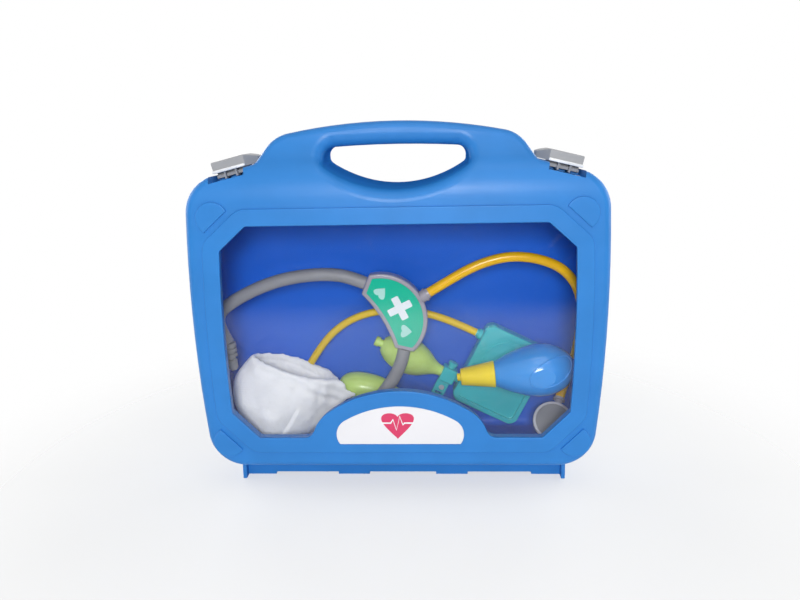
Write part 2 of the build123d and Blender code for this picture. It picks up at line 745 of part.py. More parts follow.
with BuildPart() as latch_right:
    add(cap)
    hook_s = (latch_low + latch_wall / 2, latch_high)
    roof = latch_top - latch_wall / 2
    add(shoulder_block(hook_s, (hook_low, roof), (-hook_front, hook_wall - hook_front)))
    add(shoulder_block(hook_s, (hook_low, hook_low + hook_toe[1]), (-hook_front - hook_toe[0], -hook_front)))
    for place in rib_places:
        add(shoulder_block((place - rib_width / 2, place + rib_width / 2), (rib_low, roof),
                           (latch_wall / 2 - latch_front, hook_wall - hook_front)))
    add(shoulder_block((latch_low, latch_high), lip_n, (-latch_front - latch_lip, -latch_front + 0.1)))
    with BuildSketch(latch_section.offset(-latch_high)):
        with Locations((pivot_y, pivot_height)):
            Circle(barrel_radius)
    extrude(amount=latch_high - latch_low)
    for place in lug_places:
        with BuildSketch(latch_section.offset(-place - lug_thickness / 2 - lug_play)):
            with Locations((pivot_y, pivot_height)):
                Circle(lug_radius + lug_play)
                Rectangle(2 * (lug_radius + lug_play), 3 * pivot_height, align=(Align.CENTER, Align.MAX))
        extrude(amount=lug_thickness + 2 * lug_play, mode=Mode.SUBTRACT)
    with BuildSketch(latch_section.offset(-pin_high - 0.2)):
        with Locations((pivot_y, pivot_height)):
            Circle(latch_pin_radius + pin_play)
    extrude(amount=latch_high - latch_low, mode=Mode.SUBTRACT)

with BuildPart() as latch_pin_right:
    with BuildSketch(latch_section.offset(-pin_high)):
        with Locations((pivot_y, pivot_height)):
            Circle(latch_pin_radius)
    extrude(amount=pin_high - latch_low - pin_low)

finish(latch_right.part, "latch_right")
finish(left_of(latch_right.part), "latch_left")
finish(latch_pin_right.part, "latch_pin_right")
finish(left_of(latch_pin_right.part), "latch_pin_left")

# ---------------------------------------------------------------- toy stethoscope


def yoke_outline(inset=0.0):
    """The crescent yoke, seen from the front."""
    with BuildSketch() as outline:
        with BuildLine():
            ThreePointArc(*yoke_outer)
            Line(yoke_outer[2], yoke_inner[2])
            ThreePointArc(*reversed(yoke_inner))
            Line(yoke_inner[0], yoke_outer[0])
        make_face()
        fillet(outline.vertices(), yoke_corner)
        if inset:
            offset(amount=-inset)
    return outline.sketch


collar_foot = Vector(collar_start[0], tube_y, collar_start[1])
collar_way = (Vector(steth_route_front[0][0], tube_y, steth_route_front[0][1]) - collar_foot).normalized()
with BuildPart() as tube_collar:
    add(turned(along(collar_foot, collar_way), half_outline(collar_profile, smooth=False)))
    with BuildSketch(Plane(origin=collar_foot, z_dir=collar_way).offset(collar_socket)):
        Circle(steth_tube_radius)
    extrude(amount=10, mode=Mode.SUBTRACT)
finish(tube_collar.part, "tube_collar")

with BuildPart() as collar_seat:
    with BuildSketch(Plane(origin=collar_foot - collar_way * collar_gap, z_dir=collar_way)):
        Circle(collar_profile[0][1] + collar_gap)
    extrude(amount=2 * collar_profile[0][1])

with BuildPart() as yoke_front:
    slab(yoke_outline(), tube_y - yoke_half_depth, tube_y)
    fillet(yoke_front.faces().sort_by(Axis.Y)[0].edges(), yoke_round)
    slab(yoke_outline(badge_margin), tube_y - yoke_half_depth - 1, tube_y - yoke_half_depth + badge_depth,
         Mode.SUBTRACT)
    slab(yoke_outline(yoke_wall), tube_y - yoke_half_depth + badge_depth + yoke_wall, tube_y, Mode.SUBTRACT)
    add(collar_seat, mode=Mode.SUBTRACT)
finish(yoke_front.part, "yoke_front")

with BuildPart() as yoke_back:
    slab(yoke_outline(), tube_y, tube_y + yoke_half_depth)
    fillet(yoke_back.faces().sort_by(Axis.Y)[-1].edges(), yoke_round)
    slab(yoke_outline(yoke_wall), tube_y, tube_y + yoke_half_depth - yoke_wall, Mode.SUBTRACT)
    add(collar_seat, mode=Mode.SUBTRACT)
finish(yoke_back.part, "yoke_back")

with BuildPart() as badge_inlay:
    badge_back = tube_y - yoke_half_depth + badge_depth
    slab(yoke_outline(badge_margin + badge_gap), badge_back - badge_depth - badge_proud, badge_back)
finish(badge_inlay.part, "badge_inlay")

for name, route in (("upper", upper_tube_route), ("lower", lower_tube_route)):
    points = [Vector(x, tube_y, z) for x, z in route]
    finish(tube_along(points, ear_tube_radius)[0], f"ear_tube_{name}")
    way = points[-1] - points[-2]
    finish(turned(along(points[-1], way), half_outline(ear_tip_profile, smooth=False)), f"ear_tip_{name}")


# ---------------------------------------------------------------- flexible tubes
def cord(points, radius, name):
    """Build and write a flexible tube, and print its bends and its length."""
    tube, length = tube_along(points, radius)
    print(name, "bend radii", [round(r, 1) for r in bend_radii(points)], "length", round(length, 1),
          "volume over section times length", round(tube.volume / (pi * radius**2 * length), 4))
    finish(tube, name)


# ---------------------------------------------------------------- chest piece and its tube
# The disc's plane: x to the right, y up the leaning face, z out of the diaphragm.
chest_centre = (chest_place[0], rest_y - chest_place[1], chest_place[2])
chest_plane = Plane(origin=chest_centre, x_dir=(1, 0, 0),
                    z_dir=(0, -cos(radians(chest_lean)), sin(radians(chest_lean))))
stem_turn = radians(90 - chest_turn)
stem_way = chest_plane.x_dir * cos(stem_turn) + chest_plane.y_dir * sin(stem_turn)
stem_root = Vector(*chest_centre) - chest_plane.z_dir * stem_drop

with BuildPart() as chestpiece_body:
    with BuildSketch(chest_plane.offset(-chest_rim)):
        Circle(chest_radius - chest_steps[0])
    with BuildSketch(chest_plane.offset(-chest_thickness)):
        Circle(chest_radius - chest_steps[1])
    loft()
    with BuildSketch(Plane(origin=stem_root, z_dir=stem_way)):
        Circle(stem_radius)
    extrude(amount=stem_length)
    with BuildSketch(Plane(origin=stem_root + stem_way * (stem_length - ferrule[1] / 2), z_dir=stem_way)):
        Circle(steth_tube_radius + ferrule[0])
    extrude(amount=ferrule[1])
finish(chestpiece_body.part, "chestpiece_body")

with BuildPart() as chestpiece_rim:
    with BuildSketch(chest_plane.offset(-chest_rim)):
        Circle(chest_radius)
    extrude(amount=chest_rim)
    fillet(chestpiece_rim.edges(), 0.8)
    with BuildSketch(chest_plane.offset(-diaphragm_drop)):
        Circle(chest_radius - chest_band)
    extrude(amount=chest_rim, mode=Mode.SUBTRACT)
finish(chestpiece_rim.part, "chestpiece_rim")

with BuildPart() as chestpiece_diaphragm:
    with BuildSketch(chest_plane.offset(-diaphragm_drop)):
        Circle(chest_radius - chest_band - diaphragm_gap)
    extrude(amount=diaphragm_thickness)
finish(chestpiece_diaphragm.part, "chestpiece_diaphragm")

tube_end = stem_root + stem_way * (stem_length + ferrule[1] / 2)
tube_before = tube_end + stem_way * last_straight
socket_end = collar_foot + collar_way * collar_socket
steth_route = [tuple(socket_end), *[(x, tube_y, z) for x, z in steth_route_front]]
steth_route += [(x, rest_y - rise, z) for x, rise, z in steth_route_back]
steth_route += [tuple(tube_before), tuple(tube_end)]
cord(steth_route, steth_tube_radius, "stethoscope_tube")

# ---------------------------------------------------------------- toy blood pressure set
gauge_plane = facing(gauge_place[0], rest_y - gauge_place[1], gauge_place[2], gauge_turn)


def gauge_outline(inset=0.0):
    """A rounded rectangle."""
    with BuildSketch() as outline:
        RectangleRounded(gauge_width - 2 * inset, gauge_length - 2 * inset, gauge_corner - inset)
    return outline.sketch


back_depth = gauge_depth - gauge_front_depth
with BuildPart() as gauge_back:
    with BuildSketch(gauge_plane):
        add(gauge_outline())
    extrude(amount=back_depth)
    fillet(gauge_back.faces().sort_by(Axis.Y)[-1].edges(), gauge_rounds[0])
    with BuildSketch(gauge_plane.offset(gauge_wall)):
        add(gauge_outline(gauge_wall))
    extrude(amount=back_depth, mode=Mode.SUBTRACT)
    spout = gauge_plane.from_local_coords(Vector(0.5 - gauge_width / 2, spout_up, spout_depth))
    with BuildSketch(Plane(origin=spout, z_dir=-gauge_plane.x_dir)):
        Circle(cuff_tube_radius)
    extrude(amount=spout_length - 2)
    with BuildSketch(Plane(origin=spout, z_dir=-gauge_plane.x_dir)):
        Circle(cuff_tube_radius + spout_root)
    extrude(amount=spout_length / 2)
finish(gauge_back.part, "gauge_back")

with BuildPart() as gauge_front:
    with BuildSketch(gauge_plane.offset(back_depth)):
        add(gauge_outline())
    extrude(amount=gauge_front_depth)
    fillet(gauge_front.faces().sort_by(Axis.Y)[0].edges(), gauge_rounds[1])
    with BuildSketch(gauge_plane.offset(gauge_depth - gauge_recess)):
        add(gauge_outline(gauge_rim))
    extrude(amount=gauge_recess, mode=Mode.SUBTRACT)
    with BuildSketch(gauge_plane.offset(back_depth)):
        add(gauge_outline(gauge_wall))
    extrude(amount=gauge_front_depth - gauge_recess - gauge_wall, mode=Mode.SUBTRACT)
    with BuildSketch(gauge_plane.offset(gauge_depth - gauge_recess)):
        with Locations((0, dial_up)):
            Circle(dial_radius)
            Circle(dial_radius - dial_line, mode=Mode.SUBTRACT)
    extrude(amount=dial_proud)
finish(gauge_front.part, "gauge_front")

bulb_y = rest_y - bulb_radius
valve_plane = facing(valve_place[0], bulb_y, valve_place[1], gauge_turn)
half_valve = valve_side / 2
valve_reach = half_valve + valve_link
with BuildPart() as valve_block:
    with Locations(valve_plane.location):
        Box(valve_side, valve_side, valve_side)
    fillet(valve_block.edges(), valve_round)
    with BuildSketch(Plane(origin=valve_plane.origin, z_dir=valve_plane.x_dir)):
        Circle(valve_neck)
    extrude(amount=valve_reach)
    for radius, start, length in valve_screw:
        root = valve_plane.origin + valve_plane.y_dir * (half_valve + start)
        with BuildSketch(Plane(origin=root, z_dir=valve_plane.y_dir)):
            Circle(radius)
        extrude(amount=length)
finish(valve_block.part, "valve_block")

with BuildPart() as clip_plate:
    with BuildSketch(valve_plane.offset(clip_back)):
        with Locations((clip_shift, -half_valve)):
            Rectangle(clip_width, clip_length, align=(Align.CENTER, Align.MAX))
        with Locations((clip_shift, clip_slot[1] - half_valve - clip_length)):
            SlotOverall(*clip_slot, mode=Mode.SUBTRACT)
    extrude(amount=clip_thickness)
    with BuildSketch(valve_plane.offset(clip_back + clip_thickness - screw_sink)):
        with Locations(screw_place):
            Circle(screw_radius + screw_play)
    extrude(amount=clip_thickness, mode=Mode.SUBTRACT)
finish(clip_plate.part, "clip_plate")

with BuildPart() as clip_screw:
    screw_foot = clip_back + clip_thickness - screw_sink
    with BuildSketch(valve_plane.offset(screw_foot)):
        with Locations(screw_place):
            Circle(screw_radius)
    extrude(amount=screw_height)
    with BuildSketch(valve_plane.offset(screw_foot + screw_height - screw_slot[1])):
        with Locations(screw_place):
            Rectangle(2 * screw_radius, screw_slot[0])
    extrude(amount=screw_height, mode=Mode.SUBTRACT)
finish(clip_screw.part, "clip_screw")

bulb_start = valve_plane.from_local_coords(Vector(-half_valve, 0, 0))
bulb_plane = Plane(origin=bulb_start, x_dir=-valve_plane.x_dir, z_dir=(0, 1, 0))
with BuildPart() as squeeze_bulb:
    add(turned(bulb_plane, half_outline(bulb_profile)))
    add(turned(bulb_plane, half_outline(nozzle_profile, smooth=False)))
finish(squeeze_bulb.part, "squeeze_bulb")

spout_end = spout - gauge_plane.x_dir * (spout_length - 2)
cuff_points = [(x, spout.Y, z) for x, z in cuff_route]
cuff_points += [tuple(spout_end - gauge_plane.x_dir * cuff_tube_straight), tuple(spout_end)]
cord(cuff_points, cuff_tube_radius, "cuff_tube")

with BuildPart() as arm_cuff:
    with BuildSketch(Plane.XZ.offset(-rest_y)):
        Polygon(*cuff_outline, align=None)
    extrude(amount=2 * half_depth)
    with BuildSketch(Plane.XY):
        Polygon(*[(x, rest_y - off) for x, off in cuff_plan], align=None)
    extrude(amount=handle_top, mode=Mode.INTERSECT)
    with BuildSketch(Plane.YZ):
        Polygon(*[(rest_y - off, z) for off, z in cuff_side], align=None)
    extrude(amount=half_width, both=True, mode=Mode.INTERSECT)
    slab_y = [rest_y - off for off in flap_depth]
    with BuildSketch() as flap:
        Polygon(*flap_outline, align=None)
    slab(flap.sketch, *slab_y)
finish(arm_cuff.part, "arm_cuff")

# ---------------------------------------------------------------- toy ear syringe
syringe_y = rest_y - syringe_radius
syringe_plane = facing(syringe_place[0], syringe_y, syringe_place[1], syringe_turn)
with BuildPart() as syringe_bulb:
    add(turned(syringe_plane, half_outline(syringe_profile)))
finish(syringe_bulb.part, "syringe_bulb")

with BuildPart() as syringe_tip:
    neck = syringe_plane.from_local_coords(Vector(syringe_profile[-1][0], 0, 0))
    tip_plane = Plane(origin=neck, x_dir=syringe_plane.x_dir, z_dir=FRONT)
    add(turned(tip_plane, half_outline(syringe_tip_profile, smooth=False)))
finish(syringe_tip.part, "syringe_tip")

# ---------------------------------------------------------------- toy otoscope
otoscope_plane = facing(otoscope_place[0], rest_y - otoscope_place[1], otoscope_place[2], otoscope_tilt)
egg_origin = otoscope_plane.origin + otoscope_plane.x_dir * cone_length
egg_plane = Plane(origin=egg_origin, x_dir=otoscope_plane.x_dir, z_dir=otoscope_plane.z_dir)


def egg_half(arc):
    """Half of the hollow body, turned forward from the parting plane or back from it."""
    with BuildPart() as shell:
        with BuildSketch(egg_plane):
            add(half_outline(egg_profile))
            add(half_outline(egg_inner_profile), mode=Mode.SUBTRACT)
        revolve(axis=Axis(egg_plane.origin, egg_plane.x_dir), revolution_arc=arc)
    return shell.part


with BuildPart() as otoscope_body_front:
    add(egg_half(180))
    with BuildSketch(otoscope_plane.offset(finger_pad_depth)):
        with Locations(finger_pad_place):
            Ellipse(*finger_pad_size)
    extrude(amount=10, mode=Mode.SUBTRACT)
with BuildPart() as otoscope_body_back:
    add(egg_half(-180))
finish(otoscope_body_front.part, "otoscope_body_front")
finish(otoscope_body_back.part, "otoscope_body_back")

with BuildPart() as otoscope_cone:
    add(turned(otoscope_plane, half_outline(cone_profile, smooth=False)))
finish(otoscope_cone.part, "otoscope_cone")
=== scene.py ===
"""Toy doctor case: camera, flexible tubes, printed marks, arm cuff, finishes and stage, laid out as an add-on."""
from math import copysign, cos, exp, pi, radians, sin

import bpy
from bpy.props import FloatProperty, FloatVectorProperty, PointerProperty
from mathutils import Matrix, Vector, noise


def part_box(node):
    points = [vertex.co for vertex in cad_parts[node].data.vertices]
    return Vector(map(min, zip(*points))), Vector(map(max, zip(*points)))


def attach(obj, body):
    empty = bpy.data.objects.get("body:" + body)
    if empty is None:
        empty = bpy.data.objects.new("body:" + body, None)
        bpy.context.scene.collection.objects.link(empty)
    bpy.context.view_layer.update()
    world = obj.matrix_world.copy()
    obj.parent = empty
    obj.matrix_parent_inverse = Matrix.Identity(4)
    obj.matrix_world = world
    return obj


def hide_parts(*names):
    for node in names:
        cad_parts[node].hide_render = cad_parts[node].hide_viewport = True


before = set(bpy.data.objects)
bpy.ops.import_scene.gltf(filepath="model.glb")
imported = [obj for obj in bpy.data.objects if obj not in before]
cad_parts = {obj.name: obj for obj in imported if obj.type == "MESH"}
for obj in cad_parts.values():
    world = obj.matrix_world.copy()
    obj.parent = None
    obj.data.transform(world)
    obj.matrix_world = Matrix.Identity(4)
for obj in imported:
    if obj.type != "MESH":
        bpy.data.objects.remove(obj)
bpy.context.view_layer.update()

bl_info = {
    "name": "Toy Doctor Case",
    "version": (1, 0, 0),
    "blender": (4, 5, 0),
    "location": "3D View > Sidebar > Doctor Case",
    "description": "Builds the soft pieces, printed marks, finishes and stage of a toy doctor case",
    "category": "Object",
}

MM = 0.001


# ---------------------------------------------------------------- helpers
def channels(hex_colour):
    """The red, green and blue of an sRGB hex colour, from 0 to 1."""
    return tuple(int(hex_colour[i:i + 2], 16) / 255 for i in (1, 3, 5))


def linear(hex_colour):
    """An sRGB hex colour as linear red, green, blue and alpha."""
    return (*[c / 12.92 if c <= 0.04045 else ((c + 0.055) / 1.055) ** 2.4 for c in channels(hex_colour)], 1.0)


def start_clean():
    """Leave edit mode and select nothing, because an operator acts on all that is selected."""
    if bpy.context.object and bpy.context.object.mode != "OBJECT":
        bpy.ops.object.mode_set(mode="OBJECT")
    bpy.ops.object.select_all(action="DESELECT")


def pick(piece):
    """Make a piece the only selected object and the active one."""
    start_clean()
    piece.select_set(True)
    bpy.context.view_layer.objects.active = piece


def edit_all(piece, operator, **settings):
    """Run one edit mode operator on the whole of a piece."""
    pick(piece)
    bpy.ops.object.mode_set(mode="EDIT")
    bpy.ops.mesh.select_all(action="SELECT")
    operator(**settings)
    bpy.ops.object.mode_set(mode="OBJECT")


def select_parts(piece, kind, test):
    """Enter edit mode on a piece with just the faces or edges selected that pass a test."""
    pick(piece)
    bpy.context.tool_settings.mesh_select_mode = (False, kind == "edges", kind == "faces")
    bpy.ops.object.mode_set(mode="EDIT")
    bpy.ops.mesh.select_all(action="DESELECT")
    bpy.ops.object.mode_set(mode="OBJECT")
    for part in piece.data.polygons if kind == "faces" else piece.data.edges:
        part.select = test(part)
    bpy.ops.object.mode_set(mode="EDIT")


def draw_out(move, taper=None):
    """Extrude the selected faces by a move in m, and scale their new end."""
    bpy.ops.mesh.extrude_region_move(TRANSFORM_OT_translate={"value": move})
    if taper:
        bpy.ops.transform.resize(value=taper)


def apply_modifiers(piece):
    """Apply each modifier of a piece in order."""
    pick(piece)
    for modifier in list(piece.modifiers):
        bpy.ops.object.modifier_apply(modifier=modifier.name)


def round_edges(piece, width, segments):
    """Round the sharp edges of a piece. width is in mm."""
    rounding = piece.modifiers.new("edge", "BEVEL")
    rounding.width = width * MM
    rounding.segments = segments
    apply_modifiers(piece)


def lay_line(curve, points, diameter):
    """Give a curve one smooth line through points in mm, and a round section."""
    curve.splines.clear()
    spline = curve.splines.new("NURBS")
    spline.points.add(len(points) - 1)
    for point, place in zip(spline.points, points):
        point.co = (*[c * MM for c in place], 1)
    spline.order_u = 3
    spline.use_endpoint_u = True
    curve.bevel_depth = diameter / 2
    curve.bevel_resolution = 8
    curve.use_fill_caps = True
    return spline


def settle(piece, name, body, material):
    """Name a finished piece, apply its place, and give it its body and material."""
    pick(piece)
    piece.name = name
    piece.data.name = name
    bpy.ops.object.transform_apply(location=True, rotation=True, scale=True)
    piece.data.materials.clear()
    piece.data.materials.append(MATERIALS[material])
    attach(piece, body)


def finish_nodes(table):
    """Give CAD nodes their materials, from a table of material and nodes."""
    for material, names in table.items():
        for name in names:
            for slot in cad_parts[name].material_slots:
                slot.material = MATERIALS[material]


# ---------------------------------------------------------------- shader nodes
def add_node(tree, kind, links=(), **settings):
    """Add a shader node. Settings are its own properties, links give an input a socket or a value."""
    node = tree.nodes.new("ShaderNode" + kind)
    for name, value in settings.items():
        setattr(node, name, value)
    for name, source in dict(links).items():
        socket = node.inputs[name]
        if isinstance(source, bpy.types.NodeSocket):
            tree.links.new(source, socket)
        else:
            socket.default_value = source
    return node


def maths(tree, operation, *values):
    """The result of a sum."""
    return add_node(tree, "Math", enumerate(values), operation=operation).outputs["Value"]


def spread(tree, value, given, wanted, **settings):
    """A value moved from the given range to the wanted one."""
    return add_node(tree, "MapRange", {"Value": value, "From Min": given[0], "From Max": given[1],
                                       "To Min": wanted[0], "To Max": wanted[1]}, **settings).outputs["Result"]


def mottle(tree, place, size, detail=2.0):
    """Noise whose patches are a size in mm."""
    return add_node(tree, "TexNoise", {"Vector": place, "Scale": 1 / (size * MM), "Detail": detail}).outputs["Fac"]


def waves(tree, place, scale, distortion, direction):
    """Parallel bands across one axis."""
    return add_node(tree, "TexWave", {"Vector": place, "Scale": scale, "Distortion": distortion},
                    bands_direction=direction).outputs["Fac"]


def stretched(tree, place, turn, sizes):
    """Coordinates turned, then divided by a size in mm along each axis."""
    return add_node(tree, "Mapping", {"Vector": place, "Rotation": turn,
                                      "Scale": [1 / (size * MM) for size in sizes]}).outputs["Vector"]


def relief(tree, height, depth, **links):
    """The normal of a surface with a height pattern pressed into it. depth is in mm."""
    return add_node(tree, "Bump", {"Height": height, "Distance": depth * MM, **links}).outputs["Normal"]


def blend(tree, value, low, high):
    """A blend of two linear colours, each given with the value at which it is reached."""
    node = add_node(tree, "ValToRGB", {"Fac": value})
    for stop, (position, colour) in zip(node.color_ramp.elements, (low, high)):
        stop.position = position
        stop.color = colour
    return node.outputs["Color"]


def axis(tree, vector, name):
    """One axis of a vector."""
    return add_node(tree, "SeparateXYZ", {"Vector": vector}).outputs[name]


def surface(tree, kind, inputs=()):
    """A surface shader of a kind."""
    return add_node(tree, "Bsdf" + kind, inputs).outputs["BSDF"]


def mixed(tree, share, first, second):
    """Two shaders mixed by the share of the second."""
    return add_node(tree, "MixShader", {0: share, 1: first, 2: second}).outputs["Shader"]


def new_material(name):
    """A material without nodes but its Object coordinates: the material, its tree and the coordinates."""
    material = bpy.data.materials.new(name)
    material.use_nodes = True
    tree = material.node_tree
    tree.nodes.clear()
    return material, tree, add_node(tree, "TexCoord").outputs["Object"]


def show(tree, shader):
    """Make a shader the surface of its material."""
    add_node(tree, "OutputMaterial", {"Surface": shader})


# ---------------------------------------------------------------- materials
def moulded_plastic(name, colour, roughness, grain, grain_depth, deeper=0.9, scuff=0.12, soft=0.0, coat=0.0,
                    ior=1.49, shine=0.3, finish=None):
    """Moulded plastic with a surface texture whose grain and grain_depth are in mm. finish may change its inputs."""
    material, tree, place = new_material(name)
    # Flow of the melt: cloudy patches about 30 mm across, a little deeper in colour.
    full = linear(colour)
    dark = (*[c * deeper for c in full[:3]], 1.0)
    tint = blend(tree, mottle(tree, place, 30, 3.0), (0.35, dark), (0.65, full))
    # Handling marks: streaks about 3 mm wide and 40 mm long that break up the gloss.
    streaks = stretched(tree, place, (0.3, 0.5, 0.2), (40, 3, 6))
    rub = add_node(tree, "TexNoise", {"Vector": streaks, "Scale": 1.0, "Detail": 5.0}).outputs["Fac"]
    look = {
        "Base Color": tint, "Roughness": spread(tree, rub, (0.35, 0.75), (roughness, roughness + scuff)),
        # Texture of the mould's wall: it breaks up the highlights.
        "Normal": relief(tree, mottle(tree, place, grain), grain_depth),
        "IOR": ior, "Specular IOR Level": shine, "Subsurface Weight": soft, "Subsurface Radius": (1.0, 0.8, 0.5),
        "Subsurface Scale": 2 * MM, "Coat Weight": coat, "Coat Roughness": 0.08}
    if finish:
        finish(tree, place, look)
    show(tree, surface(tree, "Principled", look))
    return material


def drawn_vinyl(name, colour, deeper):
    """Soft drawn vinyl tube: wet gloss, and light soaks in."""
    return moulded_plastic(name, colour, 0.16, 1.4, 0.012, deeper=deeper, scuff=0.1, soft=0.1, coat=0.12, ior=1.53)


# The finger hole in mm: half its width, its middle height and half its height.
HOLE_HALF, HOLE_MIDDLE, HOLE_RISE = 52.5, 242.8, 16.5
# The tray of the rear half in mm: its middle, and the heights between which its inside lies and is painted with shade.
TRAY_MIDDLE = (0, 6, 118)
TRAY_LOW, TRAY_HIGH = 24, 216


def worn_grip(tree, place, look):
    """Hands wear the gloss off the wall of the finger hole, so that it keeps its own blue at a low angle."""
    near = maths(tree, "LESS_THAN", maths(tree, "ABSOLUTE", axis(tree, place, "X")), HOLE_HALF * MM)
    level = maths(tree, "COMPARE", axis(tree, place, "Z"), HOLE_MIDDLE * MM, HOLE_RISE * MM)
    facing = add_node(tree, "TexCoord").outputs["Normal"]
    wall = spread(tree, maths(tree, "ABSOLUTE", axis(tree, facing, "Y")), (0.3, 0.75), (1.0, 0.0))
    worn = maths(tree, "MULTIPLY", maths(tree, "MULTIPLY", near, level), wall)
    look["Specular IOR Level"] = spread(tree, worn, (0.0, 1.0), (look["Specular IOR Level"], 0.0))


def tray_plastic_with_painted_shade(outside, inside):
    """Moulded polypropylene of the rear half: sky blue all over, with painted shade inside, a deeper blue on the faces
    in the tray.
    """
    def finish(tree, place, look):
        """Paint shade, in a deeper blue, on the faces that look towards the middle of the tray, between the hinge and
        the finger hole.
        """
        facing = add_node(tree, "TexCoord").outputs["Normal"]
        outward = add_node(tree, "VectorMath", {0: place, 1: Vector(TRAY_MIDDLE) * MM}, operation="SUBTRACT")
        looks_out = add_node(tree, "VectorMath", {0: facing, 1: outward.outputs["Vector"]},
                             operation="DOT_PRODUCT").outputs["Value"]
        height = axis(tree, place, "Z")
        within = maths(tree, "MULTIPLY", maths(tree, "GREATER_THAN", height, TRAY_LOW * MM),
                       maths(tree, "LESS_THAN", height, TRAY_HIGH * MM))
        # The faces in the tray that look inward: here the shade is painted, in a deeper blue.
        lining = maths(tree, "MULTIPLY", within, maths(tree, "LESS_THAN", looks_out, 0.0))
        colour_a, colour_b, colour_out = 6, 7, 2  # the node's colour sockets share their names with its others
        look["Base Color"] = add_node(tree, "Mix", {0: lining, colour_a: look["Base Color"], colour_b: linear(inside)},
                                      data_type="RGBA").outputs[colour_out]
        worn_grip(tree, place, look)
    return moulded_plastic("moulded_polypropylene_two_tone", outside, 0.36, 0.8, 0.02, 0.93, shine=0.18,
                           finish=finish)


def clear_polystyrene():
    """Clear sheet: sharp reflections, a breath of dust and a few fine scratches, light passes straight through."""
    material, tree, place = new_material("clear_polystyrene_sheet")
    # Only the sheet's front faces mirror: light that goes straight through would meet a full mirror behind them.
    angle = add_node(tree, "Fresnel", {"IOR": 1.59}).outputs["Fac"]
    front = maths(tree, "SUBTRACT", 1.0, add_node(tree, "NewGeometry").outputs["Backfacing"])
    # Dust in patches about 60 mm across.
    haze = spread(tree, mottle(tree, place, 60, 4.0), (0.4, 0.7), (0.001, 0.005))
    # Scratches: the thin borders of long stretched cells.
    lines = add_node(tree, "TexVoronoi", {"Vector": stretched(tree, place, (0.0, 0.6, 0.0), (60, 1000, 16)),
                                          "Scale": 1.0}, feature="DISTANCE_TO_EDGE").outputs["Distance"]
    scratch = spread(tree, lines, (0.0, 0.006), (0.012, 0.0))
    clear = surface(tree, "Transparent", {"Color": (0.985, 0.99, 1.0, 1.0)})
    gloss = surface(tree, "Glossy", {"Color": (1.0, 1.0, 1.0, 1.0), "Roughness": 0.035})
    dust = surface(tree, "Diffuse", {"Color": linear("#DDE6F2")})
    sheet = mixed(tree, maths(tree, "MULTIPLY", angle, front), clear, gloss)
    show(tree, mixed(tree, maths(tree, "ADD", haze, scratch), sheet, dust))
    return material


def zinc_plated_steel():
    """Zinc plated steel: pale bright metal with fine turning lines and dull spots."""
    material, tree, place = new_material("zinc_plated_steel")
    turning = waves(tree, place, 1 / (6 * MM), 1.5, "X")
    show(tree, surface(tree, "Principled", {
        "Base Color": linear("#E2E4E6"), "Metallic": 1.0,
        "Roughness": spread(tree, mottle(tree, place, 1.2, 3.0), (0.0, 1.0), (0.34, 0.52)),
        "Normal": relief(tree, turning, 0.02)}))
    return material


def quilted_nylon():
    """White woven nylon over wadding: fine plain weave, soft sheen, faint grey painted shade in the puckers' hollows.
    """
    material, tree, place = new_material("white_woven_nylon_over_wadding")
    # Threads 0.25 mm apart are too fine to show, so they are drawn 0.7 mm apart.
    scale = 1 / (0.7 * MM) / 6.28
    cross = maths(tree, "MULTIPLY", waves(tree, place, scale, 0.4, "X"), waves(tree, place, scale, 0.4, "Z"))
    thread = relief(tree, cross, 0.08, Strength=0.6)
    # Small puckers about 9 mm apart in the wadding. Their hollows are painted a faint grey as shade.
    pucker_and_painted_shade = add_node(tree, "TexNoise", {"Vector": place, "Scale": 1 / (9 * MM), "Detail": 3.0,
                                         "Roughness": 0.55}).outputs["Fac"]
    show(tree, surface(tree, "Principled", {
        "Base Color": blend(tree, pucker_and_painted_shade, (0.3, linear("#F8F7F4")), (0.6, linear("#FFFEFB"))), "Roughness": 0.72,
        "Normal": relief(tree, pucker_and_painted_shade, 1.0, Strength=0.55, Normal=thread),
        "Sheen Weight": 0.5, "Sheen Roughness": 0.4, "Subsurface Weight": 0.3, "Subsurface Radius": (1.0, 1.0, 1.0),
        "Subsurface Scale": 3 * MM}))
    return material


MATERIALS = {}


